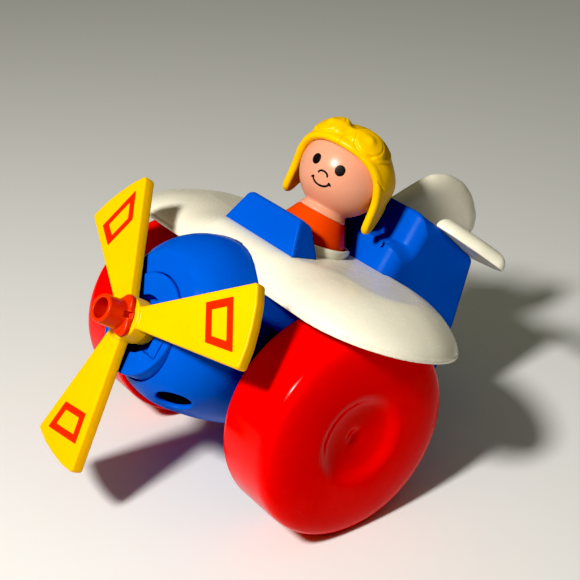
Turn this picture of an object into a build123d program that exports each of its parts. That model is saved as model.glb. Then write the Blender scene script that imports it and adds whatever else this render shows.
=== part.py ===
from build123d import *
import os
from math import sin, cos, radians, sqrt, pi, atan2, hypot

# Toy propeller plane with a pilot, resting nose-up on two wheels and a tail skid.
# Model frame: X forward, Y to the plane's left, Z up, ground at Z = 0, origin at the
# middle of the tail skid's sole. The pieces are laid out in a body frame that is tilted
# by PITCH: x forward along the propeller shaft, y left, z up, origin at the propeller.
# All lengths are in mm.

os.makedirs("parts", exist_ok=True)

# ---------------------------------------------------------------- driving dimensions
PITCH = 36.1                      # nose-up attitude at rest, degrees
WALL = 2.4                        # moulded wall
FIT = 0.05                        # radial clearance of running fits
BODY_HALF_W = 29.4                # half width of the rear body
NOSE_Z = 8.4                      # nose barrel axis above the propeller shaft
NOSE_R = 36.4                     # nose barrel radius
SHAFT_R = 1.5
AXLE_X, AXLE_Z = -73.7, 2.05
AXLE_R = 2.0
HUB_R = 5.0                       # wheel hub boss, hub sleeve and axle bush
WHEEL_R = 43.85
WHEEL_IN, WHEEL_OUT = 41.7, 71.6  # inner and outer face of a wheel from the centre line
SKID_X = -143.0
PILOT_X = -66.0                   # the pilot's upright axis
HEAD_R, HEAD_Z = 18.75, 89.7
HEAD_YAW = 22.5                   # the pilot looks this much to its left, degrees
SPINDLE_R = 3.0
RING_R = 17.9                     # cockpit ring, outside

# ---------------------------------------------------------------- body frame
cos_pitch, sin_pitch = cos(radians(PITCH)), sin(radians(PITCH))
# ground height under the skid, in the body frame
GROUND_Z = AXLE_Z - (WHEEL_R + sin_pitch * (SKID_X - AXLE_X)) / cos_pitch


def direction(x, y, z):
    """Body-frame direction -> model frame."""
    return Vector(cos_pitch * x - sin_pitch * z, y, sin_pitch * x + cos_pitch * z)


def point(x, y, z):
    """Body-frame point -> model frame."""
    return direction(x - SKID_X, y, z - GROUND_Z)


FORWARD, LEFT, UP = direction(1, 0, 0), Vector(0, 1, 0), direction(0, 0, 1)
RIGHT = Vector(0, -1, 0)
ORIGIN = point(0, 0, 0)
AXLE_POINT = point(AXLE_X, 0, AXLE_Z)
PILOT_POINT = point(PILOT_X, 0, 0)

SHAFT_AXIS = Axis(ORIGIN, FORWARD)
NOSE_AXIS = Axis(point(0, 0, NOSE_Z), FORWARD)
AXLE_AXIS = Axis(AXLE_POINT, LEFT)
PILOT_AXIS = Axis(PILOT_POINT, UP)

# sketch axes: side (body x, body z), axle (y, radius), pilot (radius, body z)
SIDE_PLANE = Plane(origin=ORIGIN, x_dir=FORWARD, z_dir=RIGHT)
AXLE_PLANE = Plane(origin=AXLE_POINT, x_dir=LEFT, z_dir=FORWARD)
PILOT_PLANE = Plane(origin=PILOT_POINT, x_dir=FORWARD, z_dir=RIGHT)


def cross_plane(x, z=0.0):
    """Plane across the shaft: sketch axes left and up, normal forward."""
    return Plane(origin=point(x, 0, z), x_dir=LEFT, z_dir=FORWARD)


def pilot_level(z):
    """Level plane on the pilot's axis: sketch axes forward and left, normal up."""
    return Plane(origin=point(PILOT_X, 0, z), x_dir=FORWARD, z_dir=UP)


def axle_section(y, side=1):
    """Plane across the axle at y, normal to the left (side 1) or right (side -1)."""
    return Plane(origin=point(AXLE_X, y, AXLE_Z), x_dir=FORWARD, z_dir=LEFT * side)


def to_side(side, *points):
    """(distance from the centre line, radius) points put on the left (1) or right (-1)."""
    return [(side * y, radius) for y, radius in points]


def mirrored(half):
    """Closed outline from its left half, listed from the bottom up."""
    return [(-y, z) for y, z in half] + half[::-1]


def turned(plane, axis, points):
    """Solid of revolution from a polygon."""
    with BuildPart() as piece:
        with BuildSketch(plane):
            with BuildLine():
                Polyline(*points, close=True)
            make_face()
        revolve(axis=axis)
    return piece


def save(builder, name):
    builder.part.label = name
    export_step(builder.part, "parts/" + name + ".step")


def save_solid(solid, name):
    """Save one solid of a builder as a piece of its own."""
    with BuildPart() as piece:
        add(solid)
    save(piece, name)


# ---------------------------------------------------------------- rear body blank
# side outline (x, z), clockwise: belly, heel, back, deck, cockpit step
BODY_OUTLINE = [
    (-61.5, -15.9), (-72, -23.68), (-141, -1), (-149, 9), (-149, 20), (-141, 55),
    (-131, 84.2), (-91, 90.5), (-91, 75.5), (-85, 72.3), (-85, 49), (-56, 49), (-52, 44)]

with BuildPart() as body_blank:
    with BuildSketch(SIDE_PLANE):
        with BuildLine():
            Polyline(*BODY_OUTLINE, close=True)
        make_face()
    extrude(amount=BODY_HALF_W, both=True)

# ---------------------------------------------------------------- wing
WING_PITCH = 13.33                # nose-down from the shaft, degrees
WING_CHORD, WING_SPAN, WING_H = 71.0, 176.6, 14.35
WING_CORNER_R = 34.5
WING_EDGE_R, WING_INNER_EDGE_R = 13.0, 11.0
RIB_Y, RIB_L, RIB_T = 37.5, 50, 1.6
RIB_GAP = 1.0                     # from the lip to the foot of a rib
NOTCH_FRONT, NOTCH_REAR = -84.9, -150

wing_cos, wing_sin = cos(radians(WING_PITCH)), sin(radians(WING_PITCH))
WING_MID = point(-66.0, 0, 41.66)  # chord middle on the lip plane
WING_FORWARD = direction(wing_cos, 0, -wing_sin)
WING_UP = direction(wing_sin, 0, wing_cos)
WING_AXIS = Axis(WING_MID, WING_UP)


def wing_plane(height=0.0, y=0.0):
    """Plane parallel to the wing's lip: sketch axes along the chord and left."""
    return Plane(origin=WING_MID + WING_UP * height + LEFT * y,
                 x_dir=WING_FORWARD, z_dir=WING_UP)


with BuildPart() as wing_blank:
    with BuildSketch(wing_plane()):
        RectangleRounded(WING_CHORD, WING_SPAN, WING_CORNER_R)
    extrude(amount=WING_H)
    fillet(wing_blank.edges().group_by(WING_AXIS)[-1], WING_EDGE_R)

with BuildPart() as wing:
    add(wing_blank.part)
    # hollow from below
    with BuildSketch(wing_plane(-1.0)):
        RectangleRounded(WING_CHORD - 2 * WALL, WING_SPAN - 2 * WALL, WING_CORNER_R - WALL)
    hollow = extrude(amount=WING_H + 1.0 - WALL, mode=Mode.PRIVATE)
    hollow = hollow.fillet(WING_INNER_EDGE_R, hollow.edges().group_by(WING_AXIS)[-1])
    add(hollow, mode=Mode.SUBTRACT)
    # opening over the nose barrel
    with BuildSketch(cross_plane(10, NOSE_Z)):
        Circle(NOSE_R + 0.25)
    extrude(amount=-82, mode=Mode.SUBTRACT)
    # notch for the rear body
    with BuildSketch(SIDE_PLANE):
        with BuildLine():
            Polyline((NOTCH_FRONT, 0), (NOTCH_FRONT, 100), (NOTCH_REAR, 100), (NOTCH_REAR, 0),
                     close=True)
        make_face()
    extrude(amount=BODY_HALF_W + 0.1, both=True, mode=Mode.SUBTRACT)
    # well for the cockpit ring
    with BuildSketch(pilot_level(40)):
        Circle(RING_R + FIT)
    extrude(amount=40, mode=Mode.SUBTRACT)
    # two stiffening ribs under the skin
    for side in (1, -1):
        with BuildSketch(wing_plane(RIB_GAP, side * RIB_Y)):
            Rectangle(RIB_L, RIB_T)
        extrude(amount=WING_H - 2.0)
save(wing, "wing")

# ---------------------------------------------------------------- fuselage shell
NOSE_FRONT_X = -10.2              # flat front of the nose barrel
NOSE_REAR_X = -72.0
SHOULDER_X = -34.6                # centre of the domed shoulder
SHOULDER_R = 28.8
BODY_EDGE_R = 4.5
NOSE_OPENING_R = 21.1
BUSH_PAD_R = 9.0

# belly plane: the sloping underside of the rear body, ends as (x, z)
BELLY_FRONT, BELLY_REAR = (-68.0, -25.0), (-141.0, -1.0)
BELLY_MID_X = -106.0
belly_run, belly_rise = BELLY_FRONT[0] - BELLY_REAR[0], BELLY_FRONT[1] - BELLY_REAR[1]
belly_length = hypot(belly_run, belly_rise)
belly_cos, belly_sin = belly_run / belly_length, belly_rise / belly_length
BELLY_MID = point(BELLY_MID_X, 0,
                  BELLY_REAR[1] + (BELLY_MID_X - BELLY_REAR[0]) * belly_rise / belly_run)
BELLY_FORWARD = direction(belly_cos, 0, belly_sin)
BELLY_OUT = direction(belly_sin, 0, -belly_cos)

# belly opening, cover and screws, in the belly plane
OPENING_L, OPENING_W, OPENING_CORNER_R = 44, 36, 3
COVER_T = 2.2
SCREWS = [(x, y) for x in (26.5, -26.5) for y in (22.5, -22.5)]


def belly_plane(height=0.0):
    """Plane parallel to the belly: sketch x forward, normal and height outwards (down)."""
    return Plane(origin=BELLY_MID + BELLY_OUT * height, x_dir=BELLY_FORWARD, z_dir=BELLY_OUT)


def inset_outline(points, depth):
    """Clockwise polygon with every side moved inwards by depth."""
    sides = []
    for (x0, z0), (x1, z1) in zip(points, points[1:] + points[:1]):
        dx, dz = x1 - x0, z1 - z0
        length = hypot(dx, dz)
        sides.append((x0 + dz / length * depth, z0 - dx / length * depth, dx, dz))
    corners = []
    for before, after in zip(sides[-1:] + sides[:-1], sides):
        x0, z0, dx0, dz0 = before
        x1, z1, dx1, dz1 = after
        along = ((x1 - x0) * dz1 - (z1 - z0) * dx1) / (dx0 * dz1 - dz0 * dx1)
        corners.append((x0 + dx0 * along, z0 + dz0 * along))
    return corners


def draw_nose(inset, x_end):
    """Half section of the inset nose barrel: flat front, domed shoulder, barrelled side."""
    radius = NOSE_R - inset
    shoulder_r = SHOULDER_R - inset
    shoulder_z = NOSE_R - SHOULDER_R
    x_front = NOSE_FRONT_X - inset
    flat_r = shoulder_z + sqrt(shoulder_r ** 2 - (x_front - SHOULDER_X) ** 2)
    rear_r = radius - 4.6 + 0.25 * (x_end - NOSE_REAR_X)
    mid_angle = 0.5 * (pi / 2 + atan2(flat_r - shoulder_z, x_front - SHOULDER_X))
    front = Line((x_front, NOSE_Z), (x_front, NOSE_Z + flat_r))
    shoulder = ThreePointArc(front @ 1,
                             (SHOULDER_X + shoulder_r * cos(mid_angle),
                              NOSE_Z + shoulder_z + shoulder_r * sin(mid_angle)),
                             (SHOULDER_X, NOSE_Z + radius))
    barrel = ThreePointArc(shoulder @ 1, (-54.0, NOSE_Z + radius - 0.6),
                           (x_end, NOSE_Z + rear_r))
    Line(barrel @ 1, (x_end, NOSE_Z))
    Line((x_end, NOSE_Z), (x_front, NOSE_Z))


with BuildPart() as fuselage_shell:
    add(body_blank.part)
    rear_long_edges = [e for e in fuselage_shell.edges()
                       if abs(e.tangent_at(0.5).dot(LEFT)) < 0.01
                       and (e.center() - ORIGIN).dot(FORWARD) < -84.0]
    fillet(rear_long_edges, BODY_EDGE_R)
    with BuildSketch(SIDE_PLANE):
        with BuildLine():
            draw_nose(0.0, NOSE_REAR_X)
        make_face()
    revolve(axis=NOSE_AXIS)
    # the two cavities run into one
    with BuildSketch(SIDE_PLANE):
        with BuildLine():
            Polyline(*inset_outline(BODY_OUTLINE, WALL), close=True)
        make_face()
    extrude(amount=BODY_HALF_W - WALL, both=True, mode=Mode.SUBTRACT)
    with BuildSketch(SIDE_PLANE):
        with BuildLine():
            draw_nose(WALL, NOSE_REAR_X + WALL)
        make_face()
    revolve(axis=NOSE_AXIS, mode=Mode.SUBTRACT)
    # screw bosses inside the belly wall
    with BuildSketch(belly_plane(-9.0)):
        with Locations(*SCREWS):
            Circle(3.4)
    extrude(amount=8.0)
    # belly opening and screw holes
    with BuildSketch(belly_plane(-4.0)):
        RectangleRounded(OPENING_L, OPENING_W, OPENING_CORNER_R)
    extrude(amount=6.0, mode=Mode.SUBTRACT)
    with BuildSketch(belly_plane(-8.0)):
        with Locations(*SCREWS):
            Circle(1.45)
    extrude(amount=10.0, mode=Mode.SUBTRACT)
    # round front opening for the bearing plate
    with BuildSketch(cross_plane(0)):
        Circle(NOSE_OPENING_R)
    extrude(amount=-24.0, mode=Mode.SUBTRACT)
    # axle bush holes through both walls
    with BuildSketch(axle_section(-60)):
        Circle(HUB_R)
    extrude(amount=120, mode=Mode.SUBTRACT)
    # flat pads for the bush flanges
    for side in (1, -1):
        with BuildSketch(axle_section(side * BODY_HALF_W, side)):
            Circle(BUSH_PAD_R)
        extrude(amount=10, mode=Mode.SUBTRACT)
    # oval cord holes low on both cheeks; the long axis is projected onto the cheek
    for side in (1, -1):
        cheek = point(-26.2, side * 19.3, -20.5)
        cheek_out = direction(0.287, side * 0.526, -0.800)
        long_axis = direction(-0.500, side * 0.797, 0.345)
        with BuildSketch(Plane(origin=cheek + cheek_out * 4,
                               x_dir=long_axis.cross(cheek_out).cross(cheek_out) * -1,
                               z_dir=cheek_out)):
            Ellipse(7.3, 5.7)
        extrude(amount=-12.0, mode=Mode.SUBTRACT)
    # pilot spindle hole in the roof
    with BuildSketch(pilot_level(30)):
        Circle(SPINDLE_R + FIT)
    extrude(amount=40, mode=Mode.SUBTRACT)
save(fuselage_shell, "fuselage_shell")

# ---------------------------------------------------------------- belly cover and screws
with BuildPart() as belly_cover:
    with BuildSketch(belly_plane()):
        RectangleRounded(60.5, 52.5, 6)
    extrude(amount=COVER_T)
    # plug that fits the opening
    with BuildSketch(belly_plane()):
        RectangleRounded(OPENING_L - 0.3, OPENING_W - 0.3, OPENING_CORNER_R - 0.1)
    extrude(amount=-2.2)
    with BuildSketch(belly_plane(-1.0)):
        with Locations(*SCREWS):
            Circle(1.6)
    extrude(amount=5.0, mode=Mode.SUBTRACT)
save(belly_cover, "belly_cover")

with BuildPart() as belly_screws:
    # heads
    with BuildSketch(belly_plane(COVER_T)):
        with Locations(*SCREWS):
            Circle(2.9)
    extrude(amount=1.5)
    chamfer(belly_screws.edges().group_by(Axis(BELLY_MID, BELLY_OUT))[-1], 0.4)
    # shanks
    with BuildSketch(belly_plane(COVER_T)):
        with Locations(*SCREWS):
            Circle(1.4)
    extrude(amount=-9.0)
    # cross slots
    with BuildSketch(belly_plane(3.0)):
        with Locations(*SCREWS):
            Rectangle(3.4, 0.7)
            Rectangle(0.7, 3.4)
    extrude(amount=2.0, mode=Mode.SUBTRACT)
save(belly_screws, "belly_screws")

# ---------------------------------------------------------------- tail skid
# flat sole on the ground, cut to the belly and heel above it
with BuildPart() as skid_block:
    with BuildSketch(Plane.XY):
        RectangleRounded(11, 22, 4)
    extrude(amount=14)
    add(body_blank.part, mode=Mode.SUBTRACT)

with BuildPart() as tail_skid:
    add(skid_block.solids().sort_by(Axis.Z)[0])
    chamfer(tail_skid.faces().sort_by(Axis.Z)[0].edges(), 0.8)
save(tail_skid, "tail_skid")

# ---------------------------------------------------------------- nose bearing plate
PLATE_FRONT_X, PLATE_T = -8.8, 13.0
WELL_DEPTH = 5.4
SHAFT_BEARING_R = 4.0             # front bush and rear bearing boss, outside

with BuildPart() as nose_plate:
    with BuildSketch(cross_plane(PLATE_FRONT_X)):
        Circle(21.0)
    extrude(amount=-PLATE_T)
    fillet(nose_plate.edges().group_by(SHAFT_AXIS)[-1], 0.9)
    # well behind the propeller hub
    with BuildSketch(cross_plane(PLATE_FRONT_X)):
        Circle(11.6)
    extrude(amount=-WELL_DEPTH, mode=Mode.SUBTRACT)
    # rectangular bite in the rim of the well
    with BuildSketch(cross_plane(PLATE_FRONT_X)):
        with Locations((7.6, -4.6)):
            Rectangle(8.0, 7.2)
    extrude(amount=-WELL_DEPTH, mode=Mode.SUBTRACT)
    # ring-shaped pocket in the back
    with BuildSketch(cross_plane(PLATE_FRONT_X - PLATE_T)):
        Circle(18.8)
        Circle(6.2, mode=Mode.SUBTRACT)
    extrude(amount=5.0, mode=Mode.SUBTRACT)
    # locking tab: an L-shaped groove beside the bite
    with BuildSketch(cross_plane(PLATE_FRONT_X)):
        with Locations((14.9, -7.8)):
            Rectangle(5.8, 0.7)
        with Locations((17.45, -4.2)):
            Rectangle(0.7, 7.9)
    extrude(amount=-1.2, mode=Mode.SUBTRACT)
    with BuildSketch(cross_plane(0)):
        Circle(SHAFT_BEARING_R)
    extrude(amount=-30, mode=Mode.SUBTRACT)
save(nose_plate, "nose_plate")

# ---------------------------------------------------------------- shaft bearings
BUSH_FRONT_X = -13.4
with BuildPart() as shaft_bush_front:
    # (outer radius, length) of the sleeve and its flange
    for radius, length in ((SHAFT_BEARING_R, 8.4), (5.2, 0.8)):
        with BuildSketch(cross_plane(BUSH_FRONT_X)):
            Circle(radius)
            Circle(SHAFT_R + FIT, mode=Mode.SUBTRACT)
        extrude(amount=-length)
save(shaft_bush_front, "shaft_bush_front")

# rear bearing: an L bracket from the right wall, with a boss round the shaft
with BuildPart() as shaft_bracket:
    with BuildSketch(cross_plane(-62.2)):
        with Locations((-11.3, 0)):
            Rectangle(31.2, 11)
    extrude(amount=-2.8)
    with BuildSketch(Plane(origin=point(-60.0, -(BODY_HALF_W - WALL), 0),
                           x_dir=FORWARD, z_dir=LEFT)):
        Rectangle(15.0, 14.0)
    extrude(amount=2.2)
    with BuildSketch(cross_plane(-60.2)):
        Circle(SHAFT_BEARING_R)
    extrude(amount=-4.8)
    with BuildSketch(cross_plane(-50)):
        Circle(SHAFT_R + FIT)
    extrude(amount=-30, mode=Mode.SUBTRACT)
save(shaft_bracket, "shaft_bracket")

# ---------------------------------------------------------------- windshield
# side outlines (x, z) and left halves of the front outlines (y, z)
SCREEN_SIDE = [(-40.3, 40.0), (-40.6, 65.6), (-48.1, 64.1), (-54.5, 54.3), (-56.5, 44.0)]
SCREEN_FRONT = [(26.6, 44.0), (24.0, 50.3), (17.2, 65.7)]
HOLLOW_SIDE = [(-42.6, 38), (-42.8, 63.2), (-47.5, 61.9), (-52.0, 54.0), (-60, 54.0), (-60, 38)]
HOLLOW_FRONT = [(24.0, 43.0), (21.6, 50.3), (14.9, 63.3)]

with BuildPart() as windshield:
    with BuildSketch(SIDE_PLANE):
        with BuildLine():
            Polyline(*SCREEN_SIDE, close=True)
        make_face()
    extrude(amount=30, both=True)
    with BuildSketch(cross_plane(-30)):
        with BuildLine():
            Polyline(*mirrored(SCREEN_FRONT), close=True)
        make_face()
    extrude(amount=-40, mode=Mode.INTERSECT)
    fillet([e for e in windshield.edges() if abs(e.tangent_at(0.5).dot(LEFT)) > 0.99
            and (e.center() - ORIGIN).dot(UP) > 63.0], 2.2)
    # hollow behind the front plate and cheeks
    with BuildSketch(SIDE_PLANE):
        with BuildLine():
            Polyline(*HOLLOW_SIDE, close=True)
        make_face()
    side_prism = extrude(amount=30, both=True, mode=Mode.PRIVATE)
    with BuildSketch(cross_plane(-30)):
        with BuildLine():
            Polyline(*mirrored(HOLLOW_FRONT), close=True)
        make_face()
    front_prism = extrude(amount=-40, mode=Mode.PRIVATE)
    add(side_prism & front_prism, mode=Mode.SUBTRACT)
    # the back stays open around the pilot's chest
    with BuildSketch(pilot_level(44)):
        Circle(18.6)
    extrude(amount=30, mode=Mode.SUBTRACT)
    add(wing_blank.part, mode=Mode.SUBTRACT)
save_solid(windshield.solids().sort_by(Axis.Z)[-1], "windshield")

# ---------------------------------------------------------------- cockpit ring
RING_INNER_R = 15.7
RING_FLOOR_Z, RING_BLANK_Z = 49.0, 63.0
RING_RIM_Z = 59.9                 # rim height on the pilot's axis
RING_SLOPE = 0.18                 # the rim leans down towards the nose
RIM_CUT = 24                      # half size of the cut above the rim

with BuildPart() as cockpit_ring:
    with BuildSketch(PILOT_PLANE):
        with BuildLine():
            Polyline((RING_INNER_R, RING_FLOOR_Z), (RING_INNER_R, RING_BLANK_Z),
                     (RING_R, RING_BLANK_Z), (RING_R, RING_FLOOR_Z), close=True)
        make_face()
    revolve(axis=PILOT_AXIS)
    with BuildSketch(SIDE_PLANE):
        with BuildLine():
            Polyline((PILOT_X - RIM_CUT, RING_RIM_Z + RIM_CUT * RING_SLOPE),
                     (PILOT_X + RIM_CUT, RING_RIM_Z - RIM_CUT * RING_SLOPE),
                     (PILOT_X + RIM_CUT, 75), (PILOT_X - RIM_CUT, 75), close=True)
        make_face()
    extrude(amount=RIM_CUT, both=True, mode=Mode.SUBTRACT)
    with BuildSketch(pilot_level(RING_FLOOR_Z)):
        Circle(RING_INNER_R)
        Circle(SPINDLE_R + FIT, mode=Mode.SUBTRACT)
    extrude(amount=3.0)
save(cockpit_ring, "cockpit_ring")

# ---------------------------------------------------------------- pilot
# profiles are (radius, z)
NECK_R, NECK_Z = 9.4, 70.2        # NECK_Z is where the head meets the body
SPINDLE_TOP = 76.2
CLIP_SEAT_R = 2.4                 # spindle groove that takes the clip

pilot_body = turned(PILOT_PLANE, PILOT_AXIS, [
    (SPINDLE_R, 53.3), (14.6, 53.3), (15.3, 54.2), (15.3, 62.0), (14.6, 63.4), (11.6, 69.0),
    (10.75, NECK_Z), (SPINDLE_R, NECK_Z)])
save(pilot_body, "pilot_body")

with BuildPart() as pilot_head:
    with BuildSketch(PILOT_PLANE):
        with BuildLine():
            neck_top = (NECK_R, HEAD_Z - sqrt(HEAD_R ** 2 - NECK_R ** 2))
            Polyline((0, NECK_Z), (10.4, NECK_Z), (10.5, 70.9), (9.5, 72.6), neck_top)
            ball = ThreePointArc(neck_top, (HEAD_R, HEAD_Z), (0, HEAD_Z + HEAD_R))
            Line(ball @ 1, (0, NECK_Z))
        make_face()
    revolve(axis=PILOT_AXIS)
    with BuildSketch(pilot_level(NECK_Z)):
        Circle(SPINDLE_R)
    extrude(amount=SPINDLE_TOP - NECK_Z, mode=Mode.SUBTRACT)
save(pilot_head, "pilot_head")

with BuildPart() as pilot_spindle:
    with BuildSketch(PILOT_PLANE):
        with BuildLine():
            Polyline((0, 36.0), (SPINDLE_R, 36.0), (SPINDLE_R, 38.2), (CLIP_SEAT_R, 38.2),
                     (CLIP_SEAT_R, 39.4), (SPINDLE_R, 39.4), (SPINDLE_R, SPINDLE_TOP),
                     (0, SPINDLE_TOP), close=True)
        make_face()
    revolve(axis=PILOT_AXIS)
    chamfer(pilot_spindle.edges().group_by(PILOT_AXIS)[0], 0.4)
save(pilot_spindle, "pilot_spindle")

with BuildPart() as spindle_clip:
    with BuildSketch(pilot_level(38.3)):
        Circle(5.4)
        Circle(CLIP_SEAT_R, mode=Mode.SUBTRACT)
        with Locations((5, 0)):
            Rectangle(8, 2.8, mode=Mode.SUBTRACT)
    extrude(amount=1.0)
save(spindle_clip, "spindle_clip")

# ---------------------------------------------------------------- helmet
# shell round the head, open in front below the brow, with ear flaps and goggle cups
HELMET_R = 21.9
FLAP_Y = 17.4                     # inner face of an ear flap from the head centre
GOGGLE_SPREAD, GOGGLE_RISE = radians(31), radians(44)
# ear flap outline: (towards the face, up) from the head centre
EAR_FLAP = [(8.0, 6.0), (5.6, -8.0), (3.4, -17.0), (-3.4, -17.6), (-9.5, -9.0), (-12.0, 4.0)]

yaw = radians(HEAD_YAW)
FACE = FORWARD * cos(yaw) + LEFT * sin(yaw)        # the way the face looks
FACE_LEFT = LEFT * cos(yaw) - FORWARD * sin(yaw)   # the pilot's left
HEAD_CENTRE = point(PILOT_X, 0, HEAD_Z)
HEAD_PLANE = Plane(origin=HEAD_CENTRE, x_dir=FACE, z_dir=FACE_LEFT * -1)
OPENING_OUT = (FACE * 0.70 - UP * 0.714).normalized()   # forward and down

with BuildPart() as helmet:
    with BuildSketch(HEAD_PLANE):
        with BuildLine():
            half_circle = ThreePointArc((0, -HELMET_R), (HELMET_R, 0), (0, HELMET_R))
            Line(half_circle @ 1, half_circle @ 0)
        make_face()
    revolve(axis=PILOT_AXIS)
    for side in (1, -1):
        with BuildSketch(Plane(origin=HEAD_CENTRE + FACE_LEFT * (side * FLAP_Y),
                               x_dir=FACE, z_dir=FACE_LEFT * side)):
            with BuildLine():
                Polyline(*EAR_FLAP, close=True)
            make_face()
        extrude(amount=4.6)
        # goggle cup on the brow
        level = FACE * cos(GOGGLE_SPREAD) + FACE_LEFT * (side * sin(GOGGLE_SPREAD))
        goggle_out = level * cos(GOGGLE_RISE) + UP * sin(GOGGLE_RISE)
        with BuildSketch(Plane(origin=HEAD_CENTRE + goggle_out * 18.0,
                               x_dir=FACE_LEFT, z_dir=goggle_out)):
            Circle(7.4)
        extrude(amount=6.0)
    # trim the shell at the nape
    with BuildSketch(Plane(origin=HEAD_CENTRE - UP * 8.0 - FACE * 13.0,
                           x_dir=FACE, z_dir=UP * -1)):
        Rectangle(22, 31.0)
    extrude(amount=30, mode=Mode.SUBTRACT)
    # trim the underside between the ear flaps
    with BuildSketch(Plane(origin=HEAD_CENTRE - UP * 14.5, x_dir=FACE, z_dir=UP * -1)):
        Rectangle(80, 33.6)
    extrude(amount=30, mode=Mode.SUBTRACT)
    # face opening ahead of a slanting plane
    with BuildSketch(Plane(origin=HEAD_CENTRE + OPENING_OUT * 6.1,
                           x_dir=FACE_LEFT, z_dir=OPENING_OUT)):
        Rectangle(33.4, 80)
    extrude(amount=40, mode=Mode.SUBTRACT)
    # room for the head
    bore_r = HEAD_R + FIT
    with BuildSketch(HEAD_PLANE):
        with BuildLine():
            half_circle = ThreePointArc((0, -bore_r), (bore_r, 0), (0, bore_r))
            Line(half_circle @ 1, half_circle @ 0)
        make_face()
    revolve(axis=PILOT_AXIS, mode=Mode.SUBTRACT)
save_solid(helmet.solids().sort_by(SortBy.VOLUME)[-1], "helmet")

# ---------------------------------------------------------------- tailplane
# two swept stubs beside the deck, joined by a thin web that lies on the deck under the fin
STUB_ROOT_Y = 24.8
STUB_H = 6.2
BEND_X, BEND_Y = 9.5, 31.5        # corner of the leading edge
DECK_POINT = point(-116.4, 0, 86.5)
DECK_UP = direction(-0.1556, 0, 0.9878)
DECK_PLANE = Plane(origin=DECK_POINT, x_dir=direction(0.9878, 0, 0.1556), z_dir=DECK_UP)

with BuildPart() as tailplane:
    for side in (1, -1):
        with BuildSketch(DECK_PLANE) as stub:
            with BuildLine():
                Polyline((14.0, side * STUB_ROOT_Y), (BEND_X, side * BEND_Y),
                         (-8.2, side * 55.8), (-17.0, side * STUB_ROOT_Y), close=True)
            make_face()
            fillet(stub.vertices().sort_by(Axis.Y)[-1 if side > 0 else 0], 5.5)
            fillet([v for v in stub.vertices()
                    if abs(v.X - BEND_X) < 0.01 and abs(abs(v.Y) - BEND_Y) < 0.01], 12.0)
        extrude(amount=STUB_H)
    top_faces = tailplane.faces().filter_by(
        lambda f: abs(abs(f.normal_at().dot(DECK_UP)) - 1) < 1e-4
        and (f.center() - DECK_POINT).dot(DECK_UP) > 6)
    fillet([e for f in top_faces for e in f.edges()
            if abs(e.center().Y) > STUB_ROOT_Y + 0.1], 3.6)
    with BuildSketch(DECK_PLANE):
        with Locations((-8.0, 0)):
            Rectangle(13.0, 50.0)
    extrude(amount=2.0)
    add(body_blank.part, mode=Mode.SUBTRACT)
save(tailplane, "tailplane")

# ---------------------------------------------------------------- tail fin
# (x, z) points: the curved edge from front to rear, then the foot back to the front
FIN_CURVE = [
    (-98.6, 91.3), (-106.4, 101.1), (-111.7, 106.9), (-116.2, 109.7), (-122.4, 111.7),
    (-131.8, 112.1), (-140.3, 109.6), (-146.6, 105.6), (-150.3, 102.3), (-153.0, 96.8)]
FIN_FOOT = [(-151.6, 92.0), (-144.0, 88.6), (-128.5, 86.0), (-128.0, 80.0), (-98.6, 84.0)]

with BuildPart() as tail_fin:
    with BuildSketch(SIDE_PLANE):
        with BuildLine():
            curve = Spline(*FIN_CURVE)
            Polyline(curve @ 1, *FIN_FOOT, FIN_CURVE[0])
        make_face()
    extrude(amount=4.3, both=True)
    fillet([e for e in tail_fin.edges() if e.geom_type == GeomType.BSPLINE], 3.6)
    add(body_blank.part, mode=Mode.SUBTRACT)
    add(tailplane.part, mode=Mode.SUBTRACT)
save_solid(tail_fin.solids().sort_by(SortBy.VOLUME)[-1], "tail_fin")

# ---------------------------------------------------------------- wheelset
AXLE_HALF_L = 64
with BuildPart() as axle:
    with BuildSketch(axle_section(-AXLE_HALF_L)):
        Circle(AXLE_R)
    extrude(amount=2 * AXLE_HALF_L)
    chamfer(axle.edges(), 0.3)
save(axle, "axle")

# profiles: (distance from the centre line, radius)
COVER_PROFILE = [
    (WHEEL_IN, AXLE_R), (WHEEL_IN, 7.0), (43.2, 9.0), (43.2, 37.4), (WHEEL_IN, 38.6),
    (WHEEL_IN, 41.55), (45.0, 41.55), (45.0, 40.0), (45.0, 7.0), (46.5, 6.0), (46.5, AXLE_R)]
SLEEVE_PROFILE = [(31.9, AXLE_R), (31.9, 4.6), (32.6, HUB_R), (41.65, HUB_R), (41.65, AXLE_R)]
BUSH_PROFILE = [
    (25.2, AXLE_R + FIT), (25.2, 4.98), (BODY_HALF_W, 4.98), (BODY_HALF_W, 7.4),
    (31.6, 7.0), (31.6, AXLE_R + FIT)]

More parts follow.
